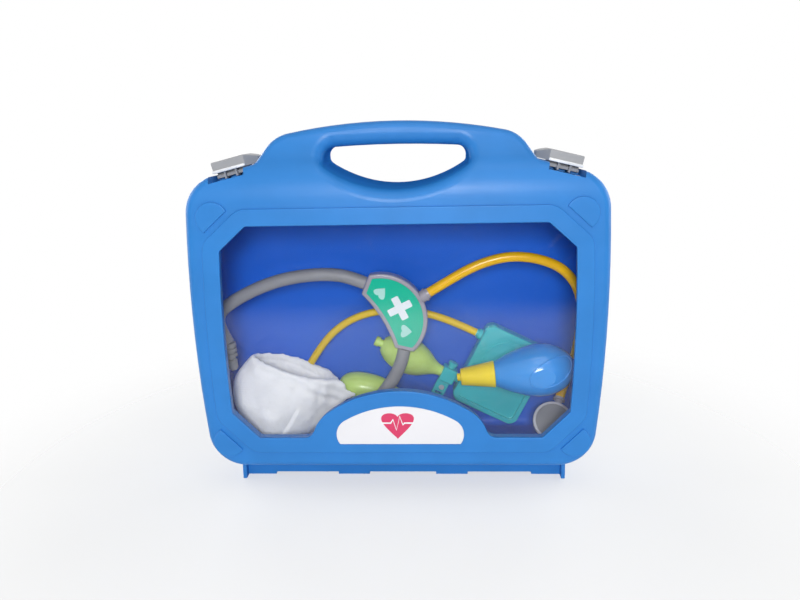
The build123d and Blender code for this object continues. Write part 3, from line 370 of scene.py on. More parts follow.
def make_materials(colours):
    """All the finishes, from the panel's colours."""
    shade = {name: "#" + "".join(f"{round(255 * c):02X}" for c in getattr(colours, name))
             for name in DoctorCaseColours.__annotations__}
    MATERIALS.update({
        # Polypropylene shells: satin, very finely sparked, faintly cloudy.
        "cover": moulded_plastic("moulded_polypropylene_sky_blue", shade["cover"], 0.36, 0.8, 0.02, 0.93,
                                 finish=worn_grip),
        # Rear half: the cover's blue outside, and painted shade in a deeper blue inside its tray.
        "back": tray_plastic_with_painted_shade(shade["cover"], shade["back"]),
        # Impact polystyrene latches: silver-grey, coarse matt top.
        "latch": moulded_plastic("moulded_polystyrene_silver_grey", shade["latch"], 0.33, 0.6, 0.03),
        # Strip on the latch's lip: near white, a painted highlight on the lip's rounded front edge.
        "lip": moulded_plastic("polished_polystyrene_silver_white", "#F1F3F5", 0.2, 0.5, 0.01, 0.97),
        # Matt PVC ear tubes: grey with a soft long highlight.
        "ear_tube": moulded_plastic("moulded_pvc_mid_grey", shade["ear_tube"], 0.34, 0.7, 0.03, soft=0.05),
        # Polished ABS yoke: lilac grey, sharp highlights on its rim.
        "yoke": moulded_plastic("polished_abs_silver_grey", shade["yoke"], 0.18, 1.5, 0.01, 0.92, coat=0.4),
        # Polished ABS badge: deep clean emerald under a hard clear shine.
        "badge": moulded_plastic("polished_abs_emerald", shade["badge"], 0.14, 2.0, 0.008, 0.93, coat=0.3),
        # Polished ABS gauge and valve: teal, a little softer in its shine.
        "teal": moulded_plastic("polished_abs_teal", shade["teal"], 0.2, 1.4, 0.012, coat=0.2),
        # Soft vinyl bulbs: light soaks in, and the highlight is round and wet.
        "bulb": moulded_plastic("soft_vinyl_light_green", shade["bulb"], 0.24, 1.0, 0.02, 0.88, soft=0.2,
                                coat=0.15, ior=1.53),
        # Polished ABS otoscope: a glassy egg, with a warm yellow cone of the same gloss.
        "otoscope": moulded_plastic("polished_abs_sky_blue", shade["otoscope"], 0.16, 1.6, 0.01, coat=0.6),
        "cone": moulded_plastic("polished_abs_warm_yellow", shade["cone"], 0.17, 1.6, 0.01, coat=0.3),
        # Drawn vinyl tubes: the thick one is nearer to orange.
        "steth_tube": drawn_vinyl("drawn_vinyl_orange_yellow", shade["steth_tube"], 0.9),
        "cuff_tube": drawn_vinyl("drawn_vinyl_yellow", shade["cuff_tube"], 0.85),
        # Chest piece rim: paler than the yoke.
        "rim": moulded_plastic("polished_polystyrene_pale_grey", "#CFCDD2", 0.22, 0.5, 0.01, 0.92),
        # Diaphragm: satin grey skin.
        "diaphragm": moulded_plastic("moulded_pvc_pale_grey", shade["diaphragm"], 0.3, 0.7, 0.03),
        # Printed label and raised prints: even, with a faint satin film.
        "label": moulded_plastic("printed_polystyrene_white", shade["label"], 0.3, 0.5, 0.006, 0.985, scuff=0.06),
        "heart": moulded_plastic("screen_ink_crimson", shade["heart"], 0.34, 0.4, 0.012, 0.95),
        "white_ink": moulded_plastic("screen_ink_white", "#EEF3F4", 0.32, 0.4, 0.012, 0.96),
        "mint_ink": moulded_plastic("screen_ink_mint", "#B5E6DA", 0.34, 0.4, 0.012, 0.95),
        "window": clear_polystyrene(),
        "steel": zinc_plated_steel(),
        "cloth": quilted_nylon(),
    })


# ---------------------------------------------------------------- properties
def colour_property(name, description, hex_colour):
    """A colour shown and stored as sRGB."""
    return FloatVectorProperty(name=name, description=description, subtype="COLOR_GAMMA", min=0, max=1,
                               default=channels(hex_colour))


def length_property(name, description, size, low, high):
    """A length, given in mm."""
    return FloatProperty(name=name, description=description, default=size * MM, min=low * MM, max=high * MM,
                         subtype="DISTANCE", unit="LENGTH", precision=4)


def angle_property(name, description, degrees):
    """An angle, given in degrees."""
    return FloatProperty(name=name, description=description, default=radians(degrees), subtype="ANGLE",
                         unit="ROTATION")


def power_property(name, description, watts):
    """The power of a lamp."""
    return FloatProperty(name=name, description=description, default=watts, min=0, unit="POWER")


class DoctorCaseColours(bpy.types.PropertyGroup):
    """Colours of the case and its toys."""
    cover: colour_property("Cover", "Front half of the case, and the outside of the rear half", "#2F80CC")
    # Inside: painted shade, a deeper blue for the shade in the rear half's tray, which is sky blue like the cover.
    back: colour_property("Inside", "Inside of the rear half", "#1264D6")
    latch: colour_property("Latches", "Both latches", "#A6A7AA")
    ear_tube: colour_property("Ear tubes", "Grey tubes of the headset", "#97979A")
    yoke: colour_property("Yoke", "Yoke, collar and chest piece", "#A9A4AD")
    badge: colour_property("Badge", "Inlay in the yoke", "#08C29C")
    teal: colour_property("Gauge", "Pressure gauge, valve and clip", "#36C6CC")
    bulb: colour_property("Bulbs", "Squeeze bulb and ear syringe", "#CDEB7E")
    otoscope: colour_property("Otoscope", "Egg-shaped body", "#1C94E6")
    cone: colour_property("Cone", "Otoscope cone and syringe tip", "#FFE012")
    steth_tube: colour_property("Stethoscope tube", "Tube from the yoke to the chest piece", "#FFC40A")
    cuff_tube: colour_property("Cuff tube", "Tube from the cuff to the gauge", "#F8D010")
    diaphragm: colour_property("Diaphragm", "Face of the chest piece", "#8F8F92")
    label: colour_property("Label", "Label plate", "#EAE9EC")
    heart: colour_property("Heart", "Heart on the label", "#D9426A")


class DoctorCaseTubes(bpy.types.PropertyGroup):
    """Sizes of the flexible tubes."""
    steth_diameter: length_property("Stethoscope tube", "Outside diameter", 7.5, 3, 12)
    cuff_diameter: length_property("Cuff tube", "Outside diameter", 6, 3, 10)


class DoctorCaseMarks(bpy.types.PropertyGroup):
    """Sizes of the raised printed marks."""
    heart_width: length_property("Label heart", "Width of the heart on the label", 24, 8, 28)
    cross_length: length_property("Badge cross", "Length of each bar of the cross", 19, 8, 22)
    cross_turn: angle_property("Cross turn", "Turn of the cross from upright", 26)
    small_heart: length_property("Badge hearts", "Width of the badge's hearts", 10, 4, 12)


class DoctorCaseCuff(bpy.types.PropertyGroup):
    """Shape of the rolled arm cuff."""
    wall: length_property("Cloth", "Thickness of the quilted cloth", 3.6, 1, 6)
    fold_depth: length_property("Folds", "Depth of the soft folds", 0.9, 0, 4)
    pressure: FloatProperty(name="Filling", description="Pressure of the wadding in the cloth", default=4.0, min=0,
                            max=10)


class DoctorCaseStage(bpy.types.PropertyGroup):
    """Camera and lights."""
    target: FloatVectorProperty(name="Target", description="Point that the camera looks at",
                                default=(2.03 * MM, -40 * MM, 151.6 * MM), subtype="TRANSLATION", unit="LENGTH")
    distance: FloatProperty(name="Distance", description="From the camera to its target", default=0.49, min=0.2,
                            subtype="DISTANCE", unit="LENGTH")
    azimuth: angle_property("Azimuth", "Camera's turn round the case", 2.57)
    elevation: angle_property("Elevation", "Camera's height above the horizon", 14)
    roll: angle_property("Roll", "Camera's turn about its own axis", -1.18)
    lens: FloatProperty(name="Lens", description="Focal length on a 36 mm sensor", default=31.5, min=10,
                        unit="CAMERA")
    front_power: power_property("Front", "Power of the softbox over the camera", 6.2)
    top_power: power_property("Top", "Power of the overhead softbox", 1.9)
    fill_power: power_property("Fill", "Power of each side softbox", 4.0)
    back_power: power_property("Back", "Power of each softbox behind the case", 3.4)
    world: FloatProperty(name="Room", description="Strength of the light from the room", default=0.12, min=0)


# ---------------------------------------------------------------- camera and tubes
class DOCTORCASE_OT_camera(bpy.types.Operator):
    """Add the camera"""
    bl_idname = "doctorcase.camera"
    bl_label = "Camera"

    def execute(self, context):
        stage = context.scene.doctor_case_stage
        turn, rise = stage.azimuth, stage.elevation
        look = Vector((-sin(turn) * cos(rise), cos(turn) * cos(rise), -sin(rise)))
        right = Vector((cos(turn), sin(turn), 0))
        up = right.cross(look)
        level_right = right * cos(stage.roll) + up * sin(stage.roll)
        level_up = up * cos(stage.roll) - right * sin(stage.roll)
        bpy.ops.object.camera_add(location=Vector(stage.target) - look * stage.distance)
        camera = context.object
        camera.name = "camera"
        camera.rotation_euler = Matrix((level_right, level_up, -look)).transposed().to_euler()
        camera.data.sensor_width = 36
        camera.data.lens = stage.lens
        camera.data.clip_start = 0.01
        camera.data.dof.use_dof = False
        context.scene.camera = camera
        return {"FINISHED"}


# The tubes' middle lines in mm.
STETH_ROUTE = [(17.15, 1.1, 143.87), (36.0, 1.1, 155.5), (56.0, 1.1, 166.9), (75.5, 1.1, 173.2), (90.5, 1.1, 174.0),
               (105.5, 1.1, 171.6), (120.5, 1.1, 165.5), (131.0, 3.0, 155.0), (137.5, 8.0, 141.0),
               (141.8, 16.0, 124.0), (141.4, 24.4, 106.5), (140.6, 31.3, 87.5), (135.9, 30.4, 70.9),
               (130.2, 25.8, 60.4), (126.92, 20.04, 53.55)]
CUFF_ROUTE = [(-74.6, 24.6, 83.6), (-63.0, 23.9, 102.0), (-47.0, 23.8, 116.5), (-30.0, 23.8, 124.5),
              (-10.0, 23.8, 127.8), (11.0, 23.8, 126.6), (30.0, 23.8, 121.8), (48.75, 23.8, 113.85),
              (59.5, 23.8, 108.5)]


def flexible_tube(name, node, route, diameter, material):
    """A flexible tube along a smooth line through its route, in place of its CAD node."""
    curve = bpy.data.curves.new(name, "CURVE")
    curve.dimensions = "3D"
    curve.resolution_u = 16
    lay_line(curve, route, diameter)
    tube = bpy.data.objects.new(name, curve)
    bpy.context.collection.objects.link(tube)
    curve.materials.append(MATERIALS[material])
    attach(tube, "rear")
    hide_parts(node)


class DOCTORCASE_OT_tubes(bpy.types.Operator):
    """Add the stethoscope's tube and the cuff's tube"""
    bl_idname = "doctorcase.tubes"
    bl_label = "Flexible tubes"

    def execute(self, context):
        tubes = context.scene.doctor_case_tubes
        flexible_tube("steth_tube_vinyl", "stethoscope_tube", STETH_ROUTE, tubes.steth_diameter,
                      "steth_tube")
        flexible_tube("cuff_tube_vinyl", "cuff_tube", CUFF_ROUTE, tubes.cuff_diameter,
                      "cuff_tube")
        return {"FINISHED"}


# ---------------------------------------------------------------- finishes of the CAD pieces
CASE_FINISH = {
    "cover": ["front_cover"],
    "back": ["rear_shell"],
    "window": ["window_pane"],
    "label": ["label_plate"],
    "latch": ["latch_left", "latch_right"],
    "steel": ["hinge_pin", "latch_pin_left", "latch_pin_right"],
}
TOY_FINISH = {
    "ear_tube": ["ear_tube_upper", "ear_tube_lower", "ear_tip_upper", "ear_tip_lower"],
    "yoke": ["yoke_front", "yoke_back", "tube_collar", "chestpiece_body"],
    "rim": ["chestpiece_rim"],
    "badge": ["badge_inlay"],
    "diaphragm": ["chestpiece_diaphragm"],
    "teal": ["gauge_back", "gauge_front", "valve_block", "clip_plate"],
    "steel": ["clip_screw"],
    "bulb": ["squeeze_bulb", "syringe_bulb"],
    "cone": ["syringe_tip", "otoscope_cone"],
    "otoscope": ["otoscope_body_front", "otoscope_body_back"],
}


class DOCTORCASE_OT_case_finish(bpy.types.Operator):
    """Give the case, its window, hinge and latches their finishes"""
    bl_idname = "doctorcase.case_finish"
    bl_label = "Case finishes"

    def execute(self, context):
        finish_nodes(CASE_FINISH)
        return {"FINISHED"}


class DOCTORCASE_OT_toy_finish(bpy.types.Operator):
    """Give the toy instruments their finishes"""
    bl_idname = "doctorcase.toy_finish"
    bl_label = "Toy finishes"

    def execute(self, context):
        finish_nodes(TOY_FINISH)
        return {"FINISHED"}


# ---------------------------------------------------------------- rigid pieces
# The upper ear tube's middle line, from the yoke to its tip, in mm.
EAR_TUBE_ROUTE = [(x, 1.1, z) for x, z in (
    (-25.83, 154.73), (-38.0, 159.9), (-53.0, 162.1), (-72.0, 161.3), (-93.0, 157.4),
    (-112.0, 150.2), (-127.5, 142.0), (-140.0, 133.0), (-141.4, 121.0), (-134.6, 108.0))]
EAR_TUBE_DIAMETER = 10 * MM


class DOCTORCASE_OT_ear_tube(bpy.types.Operator):
    """Add the upper ear tube, which swings close to the side wall before its tip"""
    bl_idname = "doctorcase.ear_tube"
    bl_label = "Upper ear tube"

    def execute(self, context):
        start_clean()
        bpy.ops.curve.primitive_nurbs_path_add()
        lay_line(context.object.data, EAR_TUBE_ROUTE, EAR_TUBE_DIAMETER).resolution_u = 14
        bpy.ops.object.convert(target="MESH")
        bpy.ops.object.shade_smooth_by_angle(angle=radians(40))
        tube = context.object
        settle(tube, "ear_tube_upper_moulded", "rear", "ear_tube")
        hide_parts("ear_tube_upper")
        return {"FINISHED"}


def copy_node(node):
    """A copy of a CAD node with its own mesh, its loose triangles merged."""
    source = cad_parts[node]
    piece = source.copy()
    piece.data = source.data.copy()
    piece.parent = None
    bpy.context.collection.objects.link(piece)
    edit_all(piece, bpy.ops.mesh.remove_doubles, threshold=0.002 * MM)
    return piece


GAUGE_RECESS = 1.2 * MM  # the panel lies this far behind its rim already
GAUGE_DEEPER = 1.5 * MM
GAUGE_SIDE = 1.0 * MM  # what reaches this far behind the panel is a side, which stays


class DOCTORCASE_OT_gauge_front(bpy.types.Operator):
    """Add the gauge's front with its deep panel"""
    bl_idname = "doctorcase.gauge_front"
    bl_label = "Gauge front"

    def execute(self, context):
        piece = copy_node("gauge_front")
        face_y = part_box("gauge_front")[0][1]
        panel_y = face_y + GAUGE_RECESS
        near = 0.1 * MM
        vertices = piece.data.vertices
        # The panel and the dial's ring on it sink together. The back of the front stays.
        sunk = {v.index for v in vertices if face_y + near < v.co.y < panel_y + near}
        for face in piece.data.polygons:
            if any(vertices[i].co.y > panel_y + GAUGE_SIDE for i in face.vertices):
                sunk.difference_update(face.vertices)
        for i in sunk:
            vertices[i].co.y += GAUGE_DEEPER
        settle(piece, "gauge_front_moulded", "rear", "teal")
        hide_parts("gauge_front")
        return {"FINISHED"}


# The otoscope's cone in mm: where its wide end sits, its tilt, its lengths, and the radii of its wide end, its
# shoulder, its nose and the bore in the nose.
CONE_SEAT = (69.3, 83.8)
CONE_TILT = radians(5.1)
CONE_LENGTH, NOSE_LENGTH, BORE_DEPTH = 23.4, 2.8, 1.2
CONE_WIDE, CONE_NARROW, CONE_NOSE, CONE_BORE = 9.9, 6.4, 2.9, 1.8
COLLAR_STEP, COLLAR_LENGTH, COLLAR_SWELL = 1.4, 1.0, 1.05


class DOCTORCASE_OT_cone(bpy.types.Operator):
    """Add the otoscope's cone: a stout taper with a short nose"""
    bl_idname = "doctorcase.cone"
    bl_label = "Otoscope cone"

    def execute(self, context):
        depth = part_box("otoscope_body_back")[0][1]
        start_clean()
        bpy.ops.mesh.primitive_cone_add(vertices=72, radius1=CONE_WIDE * MM, radius2=CONE_NARROW * MM,
                                        depth=CONE_LENGTH * MM)
        cone = context.object
        select_parts(cone, "faces", lambda face: face.normal.z > 0.9)
        bpy.ops.mesh.inset(thickness=(CONE_NARROW - CONE_NOSE) * MM)
        draw_out((0, 0, NOSE_LENGTH * MM))
        bpy.ops.mesh.inset(thickness=(CONE_NOSE - CONE_BORE) * MM)
        draw_out((0, 0, -BORE_DEPTH * MM))
        # A shallow collar at the wide end.
        select_parts(cone, "faces", lambda face: face.normal.z < -0.9)
        draw_out((0, 0, -COLLAR_STEP * MM), (COLLAR_SWELL, COLLAR_SWELL, 1.0))
        draw_out((0, 0, -COLLAR_LENGTH * MM))
        bpy.ops.object.mode_set(mode="OBJECT")
        round_edges(cone, 0.6, 3)
        bpy.ops.object.shade_smooth_by_angle(angle=radians(35))
        cone.rotation_euler = (0, -pi / 2 - CONE_TILT, 0)
        away = Vector((-cos(CONE_TILT), 0, -sin(CONE_TILT))) * (CONE_LENGTH / 2 * MM)
        cone.location = Vector((CONE_SEAT[0] * MM, depth, CONE_SEAT[1] * MM)) + away
        settle(cone, "otoscope_cone_moulded", "rear", "cone")
        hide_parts("otoscope_cone")
        return {"FINISHED"}


# Ridge round the otoscope's finger grip in mm: middle, half length, half height, tilt and half thickness.
GRIP_PLACE = (112.0, 90.5)
GRIP_SIZE = (17.0, 9.5)
GRIP_TILT = radians(24)
GRIP_LINE = 0.55


class DOCTORCASE_OT_grip(bpy.types.Operator):
    """Add the ridge round the otoscope's finger grip"""
    bl_idname = "doctorcase.grip"
    bl_label = "Otoscope grip"

    def execute(self, context):
        body_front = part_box("otoscope_body_front")[0][1]
        start_clean()
        bpy.ops.mesh.primitive_circle_add(vertices=96, radius=1.0)
        ridge = context.object
        ridge.scale = (GRIP_SIZE[0] * MM, GRIP_SIZE[1] * MM, 1)
        bpy.ops.object.transform_apply(scale=True)
        ridge.rotation_euler = (pi / 2, 0, 0)
        bpy.ops.object.transform_apply(rotation=True)
        # From just in front of the body it is pressed back onto it.
        ridge.rotation_euler = (0, -GRIP_TILT, 0)
        ridge.location = Vector((GRIP_PLACE[0] * MM, body_front - 2 * MM, GRIP_PLACE[1] * MM))
        bpy.ops.object.transform_apply(location=True, rotation=True)
        onto = ridge.modifiers.new("onto", "SHRINKWRAP")
        onto.wrap_method = "PROJECT"
        onto.use_project_y = True
        onto.use_negative_direction = False
        onto.use_positive_direction = True
        onto.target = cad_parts["otoscope_body_front"]
        apply_modifiers(ridge)
        bpy.ops.object.convert(target="CURVE")
        ridge = context.object
        ridge.data.bevel_depth = GRIP_LINE * MM
        ridge.data.bevel_resolution = 3
        bpy.ops.object.convert(target="MESH")
        bpy.ops.object.shade_smooth()
        settle(context.object, "otoscope_grip_ridge", "rear", "otoscope")
        return {"FINISHED"}


# The near-white strip on a latch's thumb lip, a painted highlight: its size in m, what its ends add in mm and their
# taper, and its middle in mm.
# Then the slope of the case's shoulders.
LIP_SIZE = (22.6 * MM, 1.9 * MM, 2.1 * MM)
LIP_END, LIP_TAPER = 0.9, (1, 0.7, 0.55)
LIP_PLACE = (117.4, -20.85, 243.1)
SHOULDER_SLOPE = radians(13.7)


class DOCTORCASE_OT_latch_lips(bpy.types.Operator):
    """Add the near-white strip along each latch's thumb lip, a painted highlight"""
    bl_idname = "doctorcase.latch_lips"
    bl_label = "Latch lips"

    def execute(self, context):
        for side, body in ((-1, "latch_left"), (1, "latch_right")):
            start_clean()
            bpy.ops.mesh.primitive_cube_add(size=1, scale=LIP_SIZE)
            lip = context.object
            bpy.ops.object.transform_apply(scale=True)
            # The strip thins to its ends: they are drawn out and narrowed.
            for way in (-1, 1):
                select_parts(lip, "faces", lambda face: face.normal.x * way > 0.9)
                draw_out((way * LIP_END * MM, 0, 0), LIP_TAPER)
            bpy.ops.object.mode_set(mode="OBJECT")
            round_edges(lip, 0.45, 3)
            bpy.ops.object.shade_smooth_by_angle(angle=radians(40))
            lip.rotation_euler = (0, side * SHOULDER_SLOPE, 0)
            lip.location = Vector((side * LIP_PLACE[0], LIP_PLACE[1], LIP_PLACE[2])) * MM
            settle(lip, f"{body}_lip", body, "lip")
        return {"FINISHED"}


# ---------------------------------------------------------------- printed marks
# A heart by shares of its half width. Notch, left lobe, tip and right lobe: place, handle before, handle after.
HEART = [((0, 0.52), (0.12, 0.86), (-0.12, 0.86)),
         ((-1.0, 0.42), (-1.0, 0.86), (-1.0, 0.02)),
         ((0, -0.92), (-0.36, -0.52), (0.36, -0.52)),
         ((1.0, 0.42), (1.0, 0.02), (1.0, 0.86))]
# The label heart's middle in mm, and its pulse line by shares of the heart's half width.
HEART_PLACE = (-1.6, 57.2)
PULSE = [(-0.98, 0.12), (-0.42, 0.12), (-0.28, 0.36), (-0.08, -0.34), (0.14, 0.56), (0.32, 0.0), (0.42, 0.12),
         (0.98, 0.12)]
PULSE_WIDTH, PULSE_FLATNESS = 1.5, 0.12
# The badge in mm: the cross's middle, its bars' width as a share of their length, and the hearts' middles.
CROSS_PLACE = (0.2, 136.3)
CROSS_ARM = 0.3
BADGE_HEARTS = (("badge_heart_upper", -13.9, 148.6, radians(-135)), ("badge_heart_lower", 4.5, 118.2, radians(-85)))


def heart_plate(width, thickness, bevel):
    """A raised heart that faces the window, its tip down, at the origin. It starts as a circle. thickness and
    bevel are in mm."""
    start_clean()
    bpy.ops.curve.primitive_bezier_circle_add(radius=width / 2, rotation=(pi / 2, 0, 0))
    heart = bpy.context.object.data
    heart.dimensions = "2D"
    heart.fill_mode = "BOTH"
    for point, places in zip(heart.splines[0].bezier_points, HEART):
        point.handle_left_type = point.handle_right_type = "FREE"
        point.co, point.handle_left, point.handle_right = (
            (x * width / 2, z * width / 2, 0) for x, z in places)
    heart.resolution_u = 16
    heart.extrude = thickness / 2 * MM
    heart.bevel_depth = bevel * MM
    heart.bevel_resolution = 2
    heart.offset = -bevel * MM
    bpy.ops.object.convert(target="MESH")
    return bpy.context.object


def place_mark(mark, x, y, z, turn=0.0, flatness=1.0):
    """Turn a mark in the plane of the window, flatten it and put it in place, in mm."""
    pick(mark)
    bpy.ops.object.transform_apply(location=True, rotation=True, scale=True)
    mark.matrix_world = (Matrix.Translation(Vector((x, y, z)) * MM) @ Matrix.Rotation(turn, 4, "Y")
                         @ Matrix.Diagonal((1, flatness, 1, 1)))


class DOCTORCASE_OT_label_heart(bpy.types.Operator):
    """Add the heart and its pulse line on the label"""
    bl_idname = "doctorcase.label_heart"
    bl_label = "Label heart"

    def execute(self, context):
        width = context.scene.doctor_case_marks.heart_width
        label_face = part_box("label_plate")[0][1] / MM
        x, z = HEART_PLACE
        heart = heart_plate(width, 0.12, 0.03)
        place_mark(heart, x, label_face - 0.03, z)
        settle(heart, "label_heart", "lid", "heart")
        # The pulse line: a round cord from corner to corner, pressed flat.
        start_clean()
        bpy.ops.curve.primitive_bezier_curve_add(rotation=(pi / 2, 0, 0))
        cord = context.object.data
        cord.splines.clear()
        line = cord.splines.new("POLY")
        line.points.add(len(PULSE) - 1)
        for point, (along, up) in zip(line.points, PULSE):
            point.co = (along * width / 2, up * width / 2, 0, 1)
        cord.bevel_depth = PULSE_WIDTH / 2 * MM
        cord.bevel_resolution = 3
        cord.use_fill_caps = True
        bpy.ops.object.convert(target="MESH")
        pulse = context.object
        place_mark(pulse, x, label_face - 0.07, z, flatness=PULSE_FLATNESS)
        settle(pulse, "label_pulse", "lid", "white_ink")
        return {"FINISHED"}


class DOCTORCASE_OT_badge_marks(bpy.types.Operator):
    """Add the cross and the two hearts on the yoke's badge"""
    bl_idname = "doctorcase.badge_marks"
    bl_label = "Badge marks"

    def execute(self, context):
        marks = context.scene.doctor_case_marks
        badge_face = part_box("badge_inlay")[0][1] / MM
        length = marks.cross_length
        arm = CROSS_ARM * length
        near = 0.01 * MM
        start_clean()
        bpy.ops.mesh.primitive_cube_add(size=1, scale=(arm, 0.5 * MM, arm))
        cross = context.object
        bpy.ops.object.transform_apply(scale=True)
        for way in (Vector((1, 0, 0)), Vector((-1, 0, 0)), Vector((0, 0, 1)), Vector((0, 0, -1))):
            select_parts(cross, "faces", lambda face: (face.center - way * arm / 2).length < near)
            draw_out(way * (length - arm) / 2)

        def bar_end_corner(edge):
            """True for the short edges through the plate at the ends of the bars."""
            first, second = (cross.data.vertices[i].co for i in edge.vertices)
            outer = max(abs(first.x), abs(first.z)) > length / 2 - near
            return outer and abs(first.y - second.y) > 10 * near

        select_parts(cross, "edges", bar_end_corner)
        bpy.ops.mesh.bevel(offset=0.9 * MM, segments=4, affect="EDGES")
        bpy.ops.object.mode_set(mode="OBJECT")
        round_edges(cross, 0.1, 2)
        place_mark(cross, CROSS_PLACE[0], badge_face + 0.12, CROSS_PLACE[1], -marks.cross_turn)
        settle(cross, "badge_cross", "rear", "white_ink")
        for name, x, z, turn in BADGE_HEARTS:
            heart = heart_plate(marks.small_heart, 0.3, 0.08)
            place_mark(heart, x, badge_face, z, turn)
            settle(heart, name, "rear", "mint_ink")
        return {"FINISHED"}


# ---------------------------------------------------------------- arm cuff
# The roll's left and right edges in mm, by share of its height.
CUFF_LEFT = [(0.0, -116), (0.12, -127), (0.3, -134.5), (0.55, -135), (0.75, -131), (0.9, -125), (1.0, -120.5)]
CUFF_RIGHT = [(0.0, -54), (0.5, -43), (0.8, -36), (1.0, -32)]
# Heights and depths in mm, by share of its length.
CUFF_BACK_RIM = [(0.0, 95), (0.09, 92.5), (0.25, 89.8), (0.39, 85.2), (0.5, 80.5), (0.62, 76.5), (0.75, 74.5),
                 (0.88, 70), (1.0, 63.8)]
CUFF_FRONT_RIM = [(0.0, 94.5), (0.05, 91.5), (0.13, 88.7), (0.22, 85.4), (0.32, 82.2), (0.46, 78.2), (0.61, 75.5),
                  (0.75, 74), (0.88, 69.5), (1.0, 63.3)]
CUFF_UNDERSIDE = [(0.0, 40), (0.15, 28.5), (0.8, 28.5), (0.9, 38), (1.0, 50)]
CUFF_FRONT = [(0.0, -8), (0.1, -14.5), (0.25, -17), (0.42, -16), (0.6, -5), (0.8, 8), (1.0, 9)]
CUFF_BACK = [(0.0, 26), (0.12, 32.5), (0.66, 33), (0.82, 14), (1.0, 12)]
CUFF_RIM_FRONT = 3.0  # the front wall leans back to here at its rim
# The levels from which the walls lean in, and up to which the foot is tucked in. Then how far, in mm.
LEAN_FROM, TUCK_TO = 0.45, 0.2
BACK_LEAN, FRONT_TUCK, BACK_TUCK = 2, 4, 2
MOUTH_END = 0.74  # the mouth closes here along the length
# The roll's rings: level, depth against the full depth, and share of the way from the outside to the inside.
# From the closed foot they go up the outside, over the rim and down the mouth.
CUFF_RINGS = [(0.0, 0.5, 0.0), (0.02, 0.75, 0.0), (0.07, 0.92, 0.0), *((v / 20, 1.0, 0.0) for v in range(3, 21)),
              (1.02, 1.0, 0.35), (1.02, 1.0, 0.7),
              *((level, 1.0, 1.0) for level in (0.99, 0.94, 0.88, 0.82, 0.76)), (0.7, 0.8, 1.0), (0.67, 0.45, 1.0)]
RING_POINTS = 96
RING_FULLNESS = 0.85  # a ring is an ellipse at 1 and fuller below it
LEAST_OPEN = 0.05  # the mouth keeps this share of its depth
VOXEL = 2.0 * MM  # the grid on which the roll gets even faces
# How the cloth swells: time steps, and the most it moves. The thin end starts at x in mm and moves less.
SWELL_STEPS, SWELL_MOST = 15, 2.5 * MM
THIN_END, THIN_FADE, THIN_SHARE = -58, 14, 0.1
# Creases in the front: from x, z to x, z, half width and depth in mm.
CUFF_CREASES = [((-65, 69), (-67, 58), 2.2, 0.7),
                ((-108, 74), (-84, 58), 9.0, 1.6), ((-125, 86), (-113, 60), 6.0, 0.9),
                ((-79, 70), (-54, 57), 2.6, 0.8), ((-73, 75), (-49, 63), 2.2, 0.6),
                ((-119, 52), (-100, 33), 7.0, 0.9), ((-112, 84), (-76, 72), 2.0, 0.7)]
# Beside a crease the cloth is proud by a share of its depth, so many half widths away.
PROUD_SHARE, PROUD_AWAY = 0.45, 2.0
# The tucked corner's edge, from x, z to x, z, and its step in mm: the cloth to its right lies over the rest.
CUFF_TUCK = ((-82, 54.5), (-94, 38.0))
TUCK_STEP = 0.8
# The lining's seams in mm: how far the stitched one is below the back rim, the distance between the upright ones,
# half their width, and the depths of the two kinds.
LINING_SEAM, QUILT_STEP, SEAM_WIDTH = 6.5, 11.0, 0.9
LINING_DEPTH, QUILT_DEPTH = 0.8, 0.45
CREASED_FROM = 12  # in mm: in front of this depth the cloth is creased, behind it the lining shows
# The cloth's slack: the sizes of its slow waves along x, y and z in mm, the place in the noise they start from,
# and the sizes and depth of the fine waves.
SLACK_SIZES, SLACK_START = (30, 26, 24), 9.7
FINE_SIZES, FINE_DEPTH = (9, 9, 7), 0.1


def on_line(table, x):
    """Value at x on a smooth line through pairs of x and value."""
    last = len(table) - 1
    x = min(max(x, table[0][0]), table[last][0])
    i = max(k for k in range(last) if table[k][0] <= x)

    def slope(k):
        before, after = table[max(k - 1, 0)], table[min(k + 1, last)]
        return (after[1] - before[1]) / (after[0] - before[0])

    (x0, v0), (x1, v1) = table[i], table[i + 1]
    span = x1 - x0
    t = (x - x0) / span
    return (v0 * (1 + 2 * t) * (1 - t) ** 2 + v1 * t * t * (3 - 2 * t)
            + slope(i) * span * t * (1 - t) ** 2 + slope(i + 1) * span * t * t * (t - 1))


def eased(value):
    """0 to 1 with a soft start and end."""
    t = min(max(value, 0.0), 1.0)
    return t * t * (3 - 2 * t)


def valley(away):
    """1 in the middle of a valley, falling to 0 past about twice its half width."""
    return exp(-away ** 2)


def cuff_point(along, back_share, level):
    """A point of the roll in mm: along from left to right, back_share from front to back, level from its foot."""
    left, right = on_line(CUFF_LEFT, level), on_line(CUFF_RIGHT, level)
    low = on_line(CUFF_UNDERSIDE, along)
    high = on_line(CUFF_FRONT_RIM, along) * (1 - back_share) + on_line(CUFF_BACK_RIM, along) * back_share
    front, back = on_line(CUFF_FRONT, along), on_line(CUFF_BACK, along)
    lean = eased((level - LEAN_FROM) / (1 - LEAN_FROM))
    tuck = 1 - eased(level / TUCK_TO)
    front += (max(front, CUFF_RIM_FRONT) - front) * lean + FRONT_TUCK * tuck
    back -= BACK_LEAN * lean + BACK_TUCK * tuck
    return Vector((left + (right - left) * along, front + (back - front) * back_share, low + (high - low) * level))


